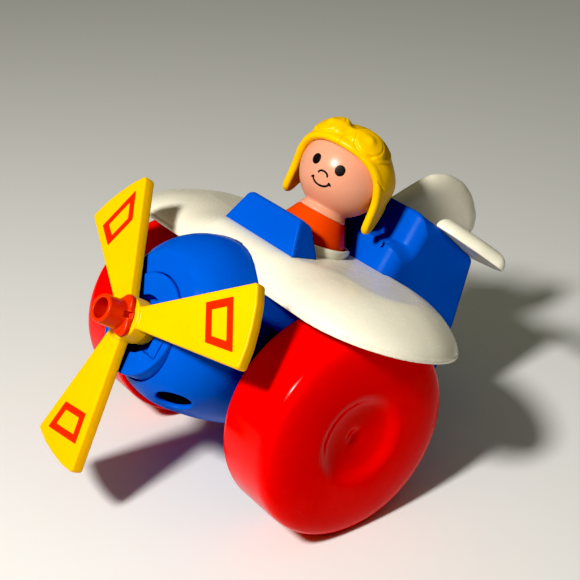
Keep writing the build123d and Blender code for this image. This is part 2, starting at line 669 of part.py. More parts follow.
for side_name, side in (("left", 1), ("right", -1)):
    with BuildPart() as wheel:
        with BuildSketch(AXLE_PLANE):
            with BuildLine():
                tread = Polyline(*to_side(side, (WHEEL_IN, 41.6), (WHEEL_IN, 42.9),
                                          (WHEEL_IN + 0.9, WHEEL_R), (66.6, WHEEL_R)))
                shoulder = Spline(tread @ 1,
                                  *to_side(side, (69.1, 42.2), (70.6, 38.4), (71.55, 27.0)),
                                  tangents=[(side, 0), (0, -1)])
                face = Line(shoulder @ 1, (side * WHEEL_OUT, 19.4))
                lip = ThreePointArc(face @ 1, *to_side(side, (71.0, 17.2), (69.9, 15.2)))
                dish = ThreePointArc(lip @ 1, *to_side(side, (68.6, 9.0), (68.0, 2.6)))
                hub = Polyline(dish @ 1, *to_side(
                    side, (68.0, 0), (64.0, 0), (64.0, AXLE_R), (46.6, AXLE_R),
                    (46.6, HUB_R), (64.4, 5.6)))
                inner_dish = ThreePointArc(hub @ 1, *to_side(side, (65.3, 10.0), (67.3, 17.0)))
                inner_face = Polyline(inner_dish @ 1, *to_side(side, (69.2, 19.6), (69.1, 28.0)))
                inner_shoulder = ThreePointArc(inner_face @ 1,
                                               *to_side(side, (68.2, 36.2), (65.2, 41.1)))
                Polyline(inner_shoulder @ 1, (side * 63.0, 41.6), tread @ 0)
            make_face()
        revolve(axis=AXLE_AXIS)
    save(wheel, "wheel_" + side_name)
    for piece_name, profile in (("wheel_cover_", COVER_PROFILE), ("hub_sleeve_", SLEEVE_PROFILE),
                                ("axle_bush_", BUSH_PROFILE)):
        save(turned(AXLE_PLANE, AXLE_AXIS, to_side(side, *profile)), piece_name + side_name)

# ---------------------------------------------------------------- crown gear
# a disc with a ring of round pegs that reach right, towards the propeller shaft
CROWN_TEETH = 20
CROWN_PEG_RING_R = 16.0
CROWN_PHASE = 16.0                # degrees

with BuildPart() as crown_gear:
    with BuildSketch(AXLE_PLANE):
        with BuildLine():
            Polyline((8.4, AXLE_R), (8.4, 18.6), (10.8, 18.6), (10.8, 6.0), (17.0, 5.4),
                     (17.0, AXLE_R), close=True)
        make_face()
    revolve(axis=AXLE_AXIS)
    with BuildSketch(axle_section(8.6, -1)):
        with PolarLocations(CROWN_PEG_RING_R, CROWN_TEETH, start_angle=-CROWN_PHASE):
            Circle(0.95)
    extrude(amount=3.3)
save(crown_gear, "crown_gear")

# ---------------------------------------------------------------- propeller
BLADES = 3
PROP_R = 64.0                     # tip radius
BLADE_END_R = 61.9                # where the rounded tip starts
BLADE_ROOT_R = 4.0
ROOT_HALF_W, TIP_HALF_W = 3.2, 16.3
BLADE_T = 5.1
BLADE_ANGLE = 3.783               # direction of the first blade, radians
BLADE_SLOPE = -0.113              # the blades lean back towards their tips


def blade_plane(k):
    """Front face of blade k: sketch x outwards along the blade, normal forward."""
    angle = BLADE_ANGLE + k * 2 * pi / BLADES
    outwards = direction(BLADE_SLOPE, cos(angle), -sin(angle)).normalized()
    across = direction(0, -sin(angle), -cos(angle))
    return Plane(origin=ORIGIN, x_dir=outwards, z_dir=across.cross(outwards))


with BuildPart() as propeller:
    with BuildSketch(cross_plane(0.0)):
        Circle(8.9)
    extrude(amount=-8.0)
    with BuildSketch(cross_plane(-8.0)):
        Circle(8.2)
    extrude(amount=-4.2)
    for k in range(BLADES):
        with BuildSketch(blade_plane(k)):
            with BuildLine():
                Polyline((BLADE_ROOT_R, -ROOT_HALF_W), (BLADE_END_R, -TIP_HALF_W))
                ThreePointArc((BLADE_END_R, -TIP_HALF_W), (PROP_R, 0), (BLADE_END_R, TIP_HALF_W))
                Polyline((BLADE_END_R, TIP_HALF_W), (BLADE_ROOT_R, ROOT_HALF_W),
                         (BLADE_ROOT_R, -ROOT_HALF_W))
            make_face()
        extrude(amount=-BLADE_T)
    fillet([e for e in propeller.edges() if (e.center() - ORIGIN).length > 45
            and e.length > 8 and abs(e.tangent_at(0.5).dot(FORWARD)) < 0.5], 0.8)
    with BuildSketch(cross_plane(10)):
        Circle(SHAFT_R)
    extrude(amount=-40, mode=Mode.SUBTRACT)
save(propeller, "propeller")

# ---------------------------------------------------------------- blade labels
LABEL_SKEW = 0.264


def label_outline(inner_r, inner_half_w, outer_r, outer_half_w):
    """Skewed trapezoid across a blade."""
    return [(inner_r + LABEL_SKEW * inner_half_w, -inner_half_w),
            (outer_r + LABEL_SKEW * outer_half_w, -outer_half_w),
            (outer_r - LABEL_SKEW * outer_half_w, outer_half_w),
            (inner_r - LABEL_SKEW * inner_half_w, inner_half_w)]


# printed trapezoid frames on the blade faces
with BuildPart() as blade_labels:
    for k in range(BLADES):
        with BuildSketch(blade_plane(k)):
            with BuildLine():
                Polyline(*label_outline(42.0, 7.5, 55.1, 10.3), close=True)
            make_face()
            with BuildLine():
                Polyline(*label_outline(45.0, 4.9, 52.1, 6.4), close=True)
            make_face(mode=Mode.SUBTRACT)
        extrude(amount=0.12)
save(blade_labels, "blade_labels")

# ---------------------------------------------------------------- hub knob
KNOB_BASE_H = 2.4
KNOB_R = 5.8                      # cup radius, and the circle the lobes sit on

with BuildPart() as hub_knob:
    # three-lobed base
    with BuildSketch(cross_plane(0.0)):
        Circle(6.9)
        for k in range(3):
            angle = radians(-37.0 + 120 * k)
            with Locations((KNOB_R * cos(angle), KNOB_R * sin(angle))):
                Circle(3.3)
    extrude(amount=KNOB_BASE_H)
    fillet(hub_knob.edges().group_by(SHAFT_AXIS)[-1], 0.7)
    # cup, open to the front
    with BuildSketch(cross_plane(KNOB_BASE_H)):
        Circle(KNOB_R)
    extrude(amount=9.2)
    fillet(hub_knob.edges().group_by(SHAFT_AXIS)[-1], 0.8)
    with BuildSketch(cross_plane(3.6)):
        Circle(4.1)
    extrude(amount=10, mode=Mode.SUBTRACT)
    with BuildSketch(cross_plane(-1)):
        Circle(SHAFT_R)
    extrude(amount=5, mode=Mode.SUBTRACT)
save(hub_knob, "hub_knob")

# ---------------------------------------------------------------- shaft, clip and pinion
GROOVE_R = 1.1                    # shaft groove that takes the clip

with BuildPart() as prop_shaft:
    with BuildSketch(cross_plane(3.4)):
        Circle(SHAFT_R)
    extrude(amount=-71.4)
    with BuildSketch(cross_plane(-22.6)):
        Circle(SHAFT_R)
        Circle(GROOVE_R, mode=Mode.SUBTRACT)
    extrude(amount=-0.8, mode=Mode.SUBTRACT)
save(prop_shaft, "prop_shaft")

with BuildPart() as shaft_clip:
    with BuildSketch(cross_plane(-22.65)):
        Circle(3.6)
        Circle(GROOVE_R, mode=Mode.SUBTRACT)
        with Locations((3.0, 0)):
            Rectangle(5.0, 1.6, mode=Mode.SUBTRACT)
    extrude(amount=-0.7)
save(shaft_clip, "shaft_clip")

PINION_TEETH = 8
PINION_CORE_R = 4.2
# tooth outline: (radius, offset across the tooth)
TOOTH = [(3.4, -0.9), (PINION_CORE_R, -0.9), (7.4, -0.5),
         (7.4, 0.5), (PINION_CORE_R, 0.9), (3.4, 0.9)]


def tooth_outline(angle):
    """Tooth outline turned by angle (radians) about the shaft."""
    return [(r * cos(angle) - w * sin(angle), r * sin(angle) + w * cos(angle))
            for r, w in TOOTH]


with BuildPart() as prop_pinion:
    with BuildSketch(cross_plane(-55.3)):
        Circle(PINION_CORE_R)
        for k in range(PINION_TEETH):
            with BuildLine():
                Polyline(*tooth_outline(2 * pi * k / PINION_TEETH), close=True)
            make_face()
        Circle(SHAFT_R, mode=Mode.SUBTRACT)
    extrude(amount=-4.4)
save(prop_pinion, "prop_pinion")
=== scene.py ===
import math
from functools import reduce

import bmesh
import bpy
import numpy as np
from mathutils import Matrix, Vector


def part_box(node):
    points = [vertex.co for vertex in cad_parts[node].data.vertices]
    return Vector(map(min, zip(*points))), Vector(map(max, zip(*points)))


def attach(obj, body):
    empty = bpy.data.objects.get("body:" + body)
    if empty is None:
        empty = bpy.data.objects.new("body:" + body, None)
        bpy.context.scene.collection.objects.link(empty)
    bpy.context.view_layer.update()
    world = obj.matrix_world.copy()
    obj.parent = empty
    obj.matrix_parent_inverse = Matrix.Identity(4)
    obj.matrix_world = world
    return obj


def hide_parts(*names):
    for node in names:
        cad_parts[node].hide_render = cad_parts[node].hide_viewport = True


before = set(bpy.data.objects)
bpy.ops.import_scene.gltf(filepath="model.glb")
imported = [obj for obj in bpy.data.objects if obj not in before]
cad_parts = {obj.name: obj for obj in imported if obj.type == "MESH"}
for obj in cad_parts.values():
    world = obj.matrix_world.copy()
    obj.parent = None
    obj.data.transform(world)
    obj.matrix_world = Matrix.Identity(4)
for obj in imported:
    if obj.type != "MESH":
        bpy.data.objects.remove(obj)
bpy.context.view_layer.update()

# ---------------------------------------------------------------- driving dimensions
PITCH = math.radians(36.1)
WALL = 2.4                        # thickness of the hollow mouldings
FIT_GAP = 0.03                    # clearance where one piece sits on another
AXLE_X, AXLE_Z = -73.7, 2.05
NOSE_Z = 8.4                      # height of the round nose's axis
BODY_HALF_WIDTH = 29.4
SHAFT_HOLE_R = 1.52               # in the propeller and the hub knob
PILOT_X = -66.0                   # the pilot's upright spindle, at y = 0
SPINDLE_HOLE_R = 3.05             # in the body and the cockpit ring
SPINDLE_BORE_R = 3.0              # in the pilot
HEAD_Z, HEAD_R = 89.7, 18.75
HEAD_YAW = math.radians(22.5)     # the face turns to the plane's left


def turn(points):
    """Pitch points or directions nose up."""
    points = np.asarray(points, float)
    cos, sin = math.cos(PITCH), math.sin(PITCH)
    x, y, z = points[..., 0], points[..., 1], points[..., 2]
    return np.stack((cos * x - sin * z, y, sin * x + cos * z), -1)


axle_low, axle_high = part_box("axle")
ROW_SHIFT = np.array((axle_low + axle_high) / 2) - turn((AXLE_X, 0, AXLE_Z)) * 1e-3


def to_row(points):
    return turn(points) * 1e-3 + ROW_SHIFT


def unit(vector):
    return vector / np.linalg.norm(vector)


# ---------------------------------------------------------------- signed distances
# Every shape is a field of distances in mm, negative inside.
def union(*parts):
    return reduce(np.minimum, parts)


def overlap(*parts):
    return reduce(np.maximum, parts)


def above(value, limit):
    return limit - value


def below(value, limit):
    return value - limit


def slab(value, centre, half):
    return np.abs(value - centre) - half


def round_max(first, second, radius):
    """Overlap of two fields with a rounded edge."""
    first_part, second_part = np.maximum(first + radius, 0), np.maximum(second + radius, 0)
    return (np.minimum(np.maximum(first + radius, second + radius), 0)
            + np.sqrt(first_part * first_part + second_part * second_part) - radius)


def soft_min(first, second, width):
    """Union of two fields with a soft fillet."""
    blend = np.maximum(width - np.abs(first - second), 0) / width
    return np.minimum(first, second) - blend * blend * width / 4


def soft_max(first, second, width):
    return -soft_min(-first, -second, width)


def cut(shape, tool):
    return np.maximum(shape, -tool)


def round_cut(shape, tool, radius):
    return round_max(shape, -tool, radius)


def soft_cut(shape, tool, width):
    return soft_max(shape, -tool, width)


def smooth_step(start, end, value):
    share = np.clip((value - start) / (end - start), 0, 1)
    return share * share * (3 - 2 * share)


def rounded_box(x, y, half_x, half_y, radius):
    over_x, over_y = np.abs(x) - (half_x - radius), np.abs(y) - (half_y - radius)
    return (np.minimum(np.maximum(over_x, over_y), 0)
            + np.hypot(np.maximum(over_x, 0), np.maximum(over_y, 0)) - radius)


def soft_edge(depth, height, width, rise):
    """Distance to an elliptical rim: depth lies inside the outline, width and rise are radii."""
    across, up = np.maximum((width - depth) / width, 0), np.maximum(height / rise, 0)
    reach = np.sqrt(across * across + up * up)
    safe = np.maximum(reach, 1e-3)
    slope = np.sqrt((across / safe / width) ** 2 + (up / safe / rise) ** 2)
    return (reach - 1) / np.where(reach < 1e-3, 1 / rise, np.maximum(slope, 1 / (2 * width)))


def polygon(x, y, outline):
    """Distance to a closed outline."""
    outline = np.asarray(outline, float)
    nearest = np.full(x.shape, 1e18)
    inside = np.zeros(x.shape, bool)
    for (start_x, start_y), (end_x, end_y) in zip(outline, np.roll(outline, -1, axis=0)):
        edge_x, edge_y = end_x - start_x, end_y - start_y
        from_x, from_y = x - start_x, y - start_y
        length_squared = max(edge_x * edge_x + edge_y * edge_y, 1e-12)
        share = np.clip((from_x * edge_x + from_y * edge_y) / length_squared, 0, 1)
        nearest = np.minimum(
            nearest, (from_x - edge_x * share) ** 2 + (from_y - edge_y * share) ** 2)
        if abs(edge_y) > 1e-12:
            inside ^= ((start_y > y) != (end_y > y)) & (from_x < from_y * edge_x / edge_y)
    distance = np.sqrt(nearest)
    return np.where(inside, -distance, distance)


# ---------------------------------------------------------------- outlines
def rounded_outline(corners, steps):
    """Closed outline through corners given as (x, y, corner radius)."""
    points = [np.array(corner[:2], float) for corner in corners]
    outline = []
    for i, corner in enumerate(points):
        radius = corners[i][2]
        back, ahead = points[i - 1] - corner, points[(i + 1) % len(points)] - corner
        back_length, ahead_length = np.linalg.norm(back), np.linalg.norm(ahead)
        back, ahead = back / back_length, ahead / ahead_length
        half_angle = math.acos(float(np.clip(back @ ahead, -1, 1))) / 2
        if radius <= 0 or half_angle > math.pi / 2 - 1e-3:
            outline.append(tuple(corner))
            continue
        trim = min(radius / math.tan(half_angle), 0.48 * back_length, 0.48 * ahead_length)
        radius = trim * math.tan(half_angle)
        centre = corner + unit(back + ahead) * (radius / math.sin(half_angle))
        first, last = corner + back * trim - centre, corner + ahead * trim - centre
        start = math.atan2(first[1], first[0])
        sweep = (math.atan2(last[1], last[0]) - start + math.pi) % (2 * math.pi) - math.pi
        for k in range(steps + 1):
            angle = start + sweep * k / steps
            outline.append((centre[0] + radius * math.cos(angle),
                            centre[1] + radius * math.sin(angle)))
    return outline


def smooth_curve(points, steps):
    """Open Catmull-Rom curve through the points."""
    points = [np.array(point, float) for point in points]
    ends = [2 * points[0] - points[1], 2 * points[-1] - points[-2]]
    padded = [ends[0]] + points + [ends[1]]
    curve = []
    for before, start, end, after in zip(padded, padded[1:], padded[2:], padded[3:]):
        for k in range(steps):
            t = k / steps
            curve.append(0.5 * ((2 * start) + (end - before) * t
                                + (2 * before - 5 * start + 4 * end - after) * t * t
                                + (3 * start - before - 3 * end + after) * t ** 3))
    curve.append(points[-1])
    return [tuple(point) for point in curve]


def inset(outline, distance):
    """Closed outline moved inward by a distance."""
    pairs = list(zip(outline, outline[1:] + outline[:1]))
    area = sum(a[0] * b[1] - b[0] * a[1] for a, b in pairs)
    side = 1 if area > 0 else -1
    lines = []
    for (start_x, start_y), (end_x, end_y) in pairs:
        run, rise = end_x - start_x, end_y - start_y
        shift = side * distance / math.hypot(run, rise)
        lines.append((start_x - rise * shift, start_y + run * shift, run, rise))
    moved = []
    for k, (next_x, next_y, next_run, next_rise) in enumerate(lines):
        last_x, last_y, last_run, last_rise = lines[k - 1]
        cross = last_run * -next_rise + next_run * last_rise
        t = ((next_x - last_x) * -next_rise + next_run * (next_y - last_y)) / cross
        moved.append((last_x + last_run * t, last_y + last_rise * t))
    return moved


# ---------------------------------------------------------------- mesh makers
def add_mesh(name, points, faces, body, normals=None):
    mesh = bpy.data.meshes.new(name)
    mesh.from_pydata(to_row(points).tolist(), [], faces)
    mesh.update()
    mesh.polygons.foreach_set("use_smooth", np.ones(len(mesh.polygons), bool))
    if normals is not None:
        normals = turn(normals)
        normals /= np.maximum(np.linalg.norm(normals, axis=1, keepdims=True), 1e-9)
        mesh.normals_split_custom_set_from_vertices(normals.tolist())
    piece = bpy.data.objects.new(name, mesh)
    bpy.context.scene.collection.objects.link(piece)
    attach(piece, body)
    return piece


def face_outward(piece):
    mesh = bmesh.new()
    mesh.from_mesh(piece.data)
    bmesh.ops.recalc_face_normals(mesh, faces=mesh.faces)
    mesh.to_mesh(piece.data)
    mesh.free()


COARSE = 4          # fine steps in one coarse block
NEAR = 1.9          # coarse blocks from the surface that are sampled finely
CORNERS = [(x, y, z) for z in (0, 1) for y in (0, 1) for x in (0, 1)]
# Each edge of a grid cell: its start corner and its direction.
CELL_EDGES = [(np.array(corner), np.eye(3, dtype=int)[axis])
              for axis in range(3) for corner in CORNERS if corner[axis] == 0]


def at_corner(grid, corner):
    """The grid's value at one corner of every cell."""
    return grid[tuple(slice(c, size - 1 + c) for c, size in zip(corner, grid.shape))]


def sample_field(solid, axes, spacing):
    """Field on the grid: exact near the surface, one value per coarse block elsewhere."""
    grids = np.meshgrid(*(axis[::COARSE] for axis in axes), indexing="ij")
    coarse = solid(*(grid.ravel() for grid in grids)).reshape(grids[0].shape)
    near = np.abs(coarse) < spacing * COARSE * NEAR
    blocks = reduce(np.logical_or, [at_corner(near, corner) for corner in CORNERS])
    mask = np.zeros([len(axis) for axis in axes], bool)
    mask[:-1, :-1, :-1] = blocks.repeat(COARSE, 0).repeat(COARSE, 1).repeat(COARSE, 2)
    for i in range(3):
        view = np.moveaxis(mask, i, 0)
        view[1:] |= view[:-1].copy()
    field = coarse[np.ix_(*(np.arange(len(axis)) // COARSE for axis in axes))]
    spots = np.nonzero(mask)
    field[spots] = solid(*(axis[spot] for axis, spot in zip(axes, spots)))
    return field


def gradient(solid, points, reach):
    slopes = np.empty_like(points)
    for i in range(3):
        offset = np.zeros(3)
        offset[i] = reach
        ahead, behind = points + offset, points - offset
        slopes[:, i] = (solid(*ahead.T) - solid(*behind.T)) / (2 * reach)
    return slopes


def crossing_quads(inside, cell_ids):
    """One outward quad round every grid edge that the surface crosses."""
    quads = []
    for axis in range(3):
        second, third = (axis + 1) % 3, (axis + 2) % 3
        low, high = [slice(1, -1)] * 3, [slice(1, -1)] * 3
        low[axis], high[axis] = slice(None, -1), slice(1, None)
        spots = list(np.nonzero(inside[tuple(low)] != inside[tuple(high)]))
        spots[second] = spots[second] + 1
        spots[third] = spots[third] + 1
        corners = []
        for second_step, third_step in ((1, 1), (0, 1), (0, 0), (1, 0)):
            cell = list(spots)
            cell[second] = cell[second] - second_step
            cell[third] = cell[third] - third_step
            corners.append(cell_ids[tuple(cell)])
        quad = np.stack(corners, 1)
        flip = ~inside[tuple(spots)]
        quad[flip] = quad[flip][:, ::-1]
        quads.append(quad)
    return np.concatenate(quads)


def mould(name, solid, low, high, spacing, body="airframe"):
    """Closed skin of a field: even quads that sit on the surface, with true normals."""
    low, high = np.array(low, float), np.array(high, float)
    counts = np.ceil((high - low) / spacing).astype(int) + 1
    counts = ((counts - 1 + COARSE - 1) // COARSE) * COARSE + 1
    axes = [low[i] + spacing * np.arange(counts[i]) for i in range(3)]
    field = sample_field(solid, axes, spacing)
    inside = field < 0

    # one point in every cell the surface passes through
    filled = sum(at_corner(inside, corner).astype(np.int8) for corner in CORNERS)
    cells = np.nonzero((filled > 0) & (filled < 8))
    cell_ids = np.full(tuple(counts - 1), -1, np.int64)
    cell_ids[cells] = np.arange(len(cells[0]))
    total, crossings = np.zeros((len(cells[0]), 3)), np.zeros(len(cells[0]))
    for start, step in CELL_EDGES:
        first = field[tuple(cells[i] + start[i] for i in range(3))]
        last = field[tuple(cells[i] + start[i] + step[i] for i in range(3))]
        crossed = (first < 0) != (last < 0)
        share = np.where(crossed, first / np.where(crossed, first - last, 1), 0)[:, None]
        total += np.where(crossed[:, None], start + share * step, 0)
        crossings += crossed
    points = low + spacing * (np.stack(cells, 1) + total / crossings[:, None])

    # move the points onto the surface in short steps down the slope
    for _ in range(2):
        value = solid(*points.T)
        slope = gradient(solid, points, 0.2 * spacing)
        move = -value[:, None] * slope / np.maximum((slope * slope).sum(1), 0.05)[:, None]
        length = np.linalg.norm(move, axis=1, keepdims=True)
        points = points + move * np.minimum(1, 0.45 * spacing / np.maximum(length, 1e-9))
    normals = gradient(solid, points, 0.15 * spacing)
    return add_mesh(name, points, crossing_quads(inside, cell_ids).tolist(), body, normals)


def join_rings(rings, wrap=False):
    """Points and faces of a skin over rings of points; a ring of one point is a pole."""
    points, numbers = [], []
    for ring in rings:
        numbers.append(range(len(points), len(points) + len(ring)))
        points += ring
    faces = []
    for ring, following in zip(numbers, numbers[1:] + (numbers[:1] if wrap else [])):
        segments = max(len(ring), len(following))
        for k in range(segments):
            after = (k + 1) % segments
            if len(ring) == 1:
                faces.append((ring[0], following[after], following[k]))
            elif len(following) == 1:
                faces.append((ring[k], ring[after], following[0]))
            else:
                faces.append((ring[k], ring[after], following[after], following[k]))
    return np.array(points), faces


def dense(profile, closed, step=2.2, end=0.18):
    """Adds points along straight runs so that smooth shading stays flat on them."""
    points = []
    count = len(profile)
    for i in range(count if closed else count - 1):
        start, finish = np.array(profile[i], float), np.array(profile[(i + 1) % count], float)
        length = np.linalg.norm(finish - start)
        points.append(tuple(start))
        if length > 1.2:
            parts = max(1, int(length / step))
            shares = [end / length] + [j / parts for j in range(1, parts)] + [1 - end / length]
            points += [tuple(start + (finish - start) * share) for share in shares]
    if not closed:
        points.append(tuple(profile[-1]))
    return points


def lathe(name, profile, origin, axis, body, segments, closed):
    """Turned piece; profile holds (distance along axis, radius), open ones end on the axis."""
    axis, origin = np.array(axis, float), np.array(origin, float)
    reference = np.array((0, 0, 1.0)) if abs(axis[2]) < 0.9 else np.array((1.0, 0, 0))
    first = np.cross(axis, reference)
    second = np.cross(axis, first)
    rings = []
    for along, radius in dense(profile, closed):
        if radius < 1e-6:
            rings.append([origin + axis * along])
            continue
        ring = []
        for k in range(segments):
            angle = 2 * math.pi * k / segments
            spoke = first * math.cos(angle) + second * math.sin(angle)
            ring.append(origin + axis * along + spoke * radius)
        rings.append(ring)
    points, faces = join_rings(rings, wrap=closed)
    # the sign of the enclosed volume tells whether the faces look outward
    volume = 0.0
    for face in faces:
        corner = points[face[0]] - origin
        for i, j in zip(face[1:], face[2:]):
            volume += np.dot(corner, np.cross(points[i] - origin, points[j] - origin))
    if volume < 0:
        faces = [tuple(reversed(face)) for face in faces]
    return add_mesh(name, points, faces, body)


# ---------------------------------------------------------------- shader helpers
def add_node(tree, kind, inputs, **settings):
    """Adds a shader node; an input is either a value or the socket that feeds it."""
    made = tree.nodes.new(kind)
    for setting, value in settings.items():
        setattr(made, setting, value)
    for socket, value in inputs.items():
        if isinstance(value, bpy.types.NodeSocket):
            tree.links.new(value, made.inputs[socket])
        else:
            made.inputs[socket].default_value = value
    return made


MIX_FACTOR, MIX_FIRST, MIX_SECOND, MIX_RESULT = 0, 6, 7, 2    # the Mix node's colour sockets


def mix_colours(tree, factor, first, second):
    inputs = {MIX_FACTOR: factor, MIX_FIRST: first, MIX_SECOND: second}
    return add_node(tree, "ShaderNodeMix", inputs, data_type="RGBA").outputs[MIX_RESULT]


def map_range(tree, value, source, target):
    inputs = {"Value": value, "From Min": source[0], "From Max": source[1],
              "To Min": target[0], "To Max": target[1]}
    return add_node(tree, "ShaderNodeMapRange", inputs, clamp=True).outputs["Result"]


# Scratch directions: noise scale along each axis, and the rotation of the pattern.
SCRATCHES = [((30, 2600, 30), (0.3, 0.2, 0.5)),
             ((2300, 40, 60), (0.9, 0.1, 1.2)),
             ((50, 60, 2500), (0.2, 1.1, 0.3))]


def plastic(name, colour, rough, spec=0.35, sss=0.0, metal=0.0, var=0.05, scuff=0.35,
            grain=0.10, wave=0.25, wear=0.25, wear_mm=0.7, wear_colour=None):
    """Handled plastic or metal.

    spec, sss and metal are the specular, subsurface and metallic weights. var is the colour
    drift, scuff the scratches, grain the fine relief, wave the slow relief, and wear the
    lightening of edges within wear_mm.
    """
    material = bpy.data.materials.new(name)
    material.use_nodes = True
    tree = material.node_tree
    tree.nodes.clear()
    coordinates = add_node(tree, "ShaderNodeTexCoord", {}).outputs["Object"]

    def noise(scale, detail, roughness=0.55, distortion=0.0, vector=coordinates):
        inputs = {"Scale": scale, "Detail": detail, "Roughness": roughness,
                  "Distortion": distortion, "Vector": vector}
        return add_node(tree, "ShaderNodeTexNoise", inputs).outputs["Fac"]

    def ranged(value, source, target=(0, 1)):
        return map_range(tree, value, source, target)

    def maths(operation, first, second):
        inputs = {0: first, 1: second}
        return add_node(tree, "ShaderNodeMath", inputs, operation=operation).outputs[0]

    def tint(gain, lift=0.0):
        return (*(min(1.0, v * gain + lift) for v in colour), 1)

    # slow pigment drift and a fine mottle
    drift = ranged(noise(scale=38, detail=4), source=(0.3, 0.7))
    shade = mix_colours(tree, drift, tint(gain=1 - var), tint(gain=1 + var, lift=0.003))
    mottle = ranged(noise(scale=420, detail=5), source=(0.45, 0.75), target=(0, 0.35))
    shade = mix_colours(tree, mottle, shade, tint(gain=1 - 1.6 * var))

    # fine handling scratches in three directions, in patches
    lines = []
    for scale, rotation in SCRATCHES:
        inputs = {"Scale": scale, "Rotation": rotation, "Vector": coordinates}
        mapping = add_node(tree, "ShaderNodeMapping", inputs)
        streaks = noise(scale=1.0, detail=2.0, roughness=0.5, distortion=0.15,
                        vector=mapping.outputs[0])
        lines.append(ranged(streaks, source=(0.70, 0.76)))
    scratches = maths("MAXIMUM", maths("MAXIMUM", lines[0], lines[1]), lines[2])
    patches = ranged(noise(scale=55, detail=3), source=(0.50, 0.68))
    scratches = maths("MULTIPLY", maths("MULTIPLY", scratches, patches), scuff)

    # edges polished and lightened by handling
    bevel = add_node(tree, "ShaderNodeBevel", {"Radius": wear_mm * 1e-3}, samples=4)
    geometry = add_node(tree, "ShaderNodeNewGeometry", {})
    facing = add_node(tree, "ShaderNodeVectorMath",
                      {0: bevel.outputs[0], 1: geometry.outputs["Normal"]},
                      operation="DOT_PRODUCT")
    edge = ranged(facing.outputs["Value"], source=(0.97, 0.80))
    breakup = ranged(noise(scale=160, detail=4), source=(0.40, 0.62), target=(0, wear))
    edge = maths("MULTIPLY", edge, breakup)
    worn = (*wear_colour, 1) if wear_colour else tint(gain=0.75, lift=0.18)
    shade = mix_colours(tree, edge, shade, worn)
    shade = mix_colours(tree, maths("MULTIPLY", scratches, 0.30), shade,
                        tint(gain=0.8, lift=0.12))

    # roughness: haze patches, scratches, fine speckle, edges, and a floor value
    haze = ranged(noise(scale=70, detail=5), source=(0.3, 0.7),
                  target=(0.75 * rough, 1.3 * rough))
    gloss = maths("ADD", haze, maths("MULTIPLY", scratches, 0.35))
    speckle = ranged(noise(scale=1500, detail=3), source=(0.3, 0.7), target=(-0.02, 0.03))
    gloss = maths("ADD", maths("ADD", gloss, speckle), maths("MULTIPLY", edge, 0.10))
    gloss = maths("MAXIMUM", gloss, 0.02)

    # relief: slow sink marks, fine moulding grain, scratches
    sinks = maths("MULTIPLY", noise(scale=45, detail=2), 0.10 * wave)
    fine = maths("MULTIPLY", noise(scale=2200, detail=2), 0.010 * grain)
    relief = maths("SUBTRACT", maths("ADD", sinks, fine), maths("MULTIPLY", scratches, 0.006))
    bump = add_node(tree, "ShaderNodeBump",
                    {"Strength": 1.0, "Distance": 0.001, "Height": relief})

    inputs = {"Base Color": shade, "Metallic": metal, "Specular IOR Level": spec,
              "Coat Weight": 0.0, "Coat Roughness": 0.06, "Roughness": gloss,
              "Normal": bump.outputs[0]}
    if sss > 0:
        inputs.update({"Subsurface Weight": sss, "Subsurface Radius": (1.0, 0.6, 0.4),
                       "Subsurface Scale": 0.0025})
    shader = add_node(tree, "ShaderNodeBsdfPrincipled", inputs)
    # the plain colour also stays on the linked socket
    shader.inputs["Base Color"].default_value = (*colour, 1)
    add_node(tree, "ShaderNodeOutputMaterial", {0: shader.outputs[0]})
    return material


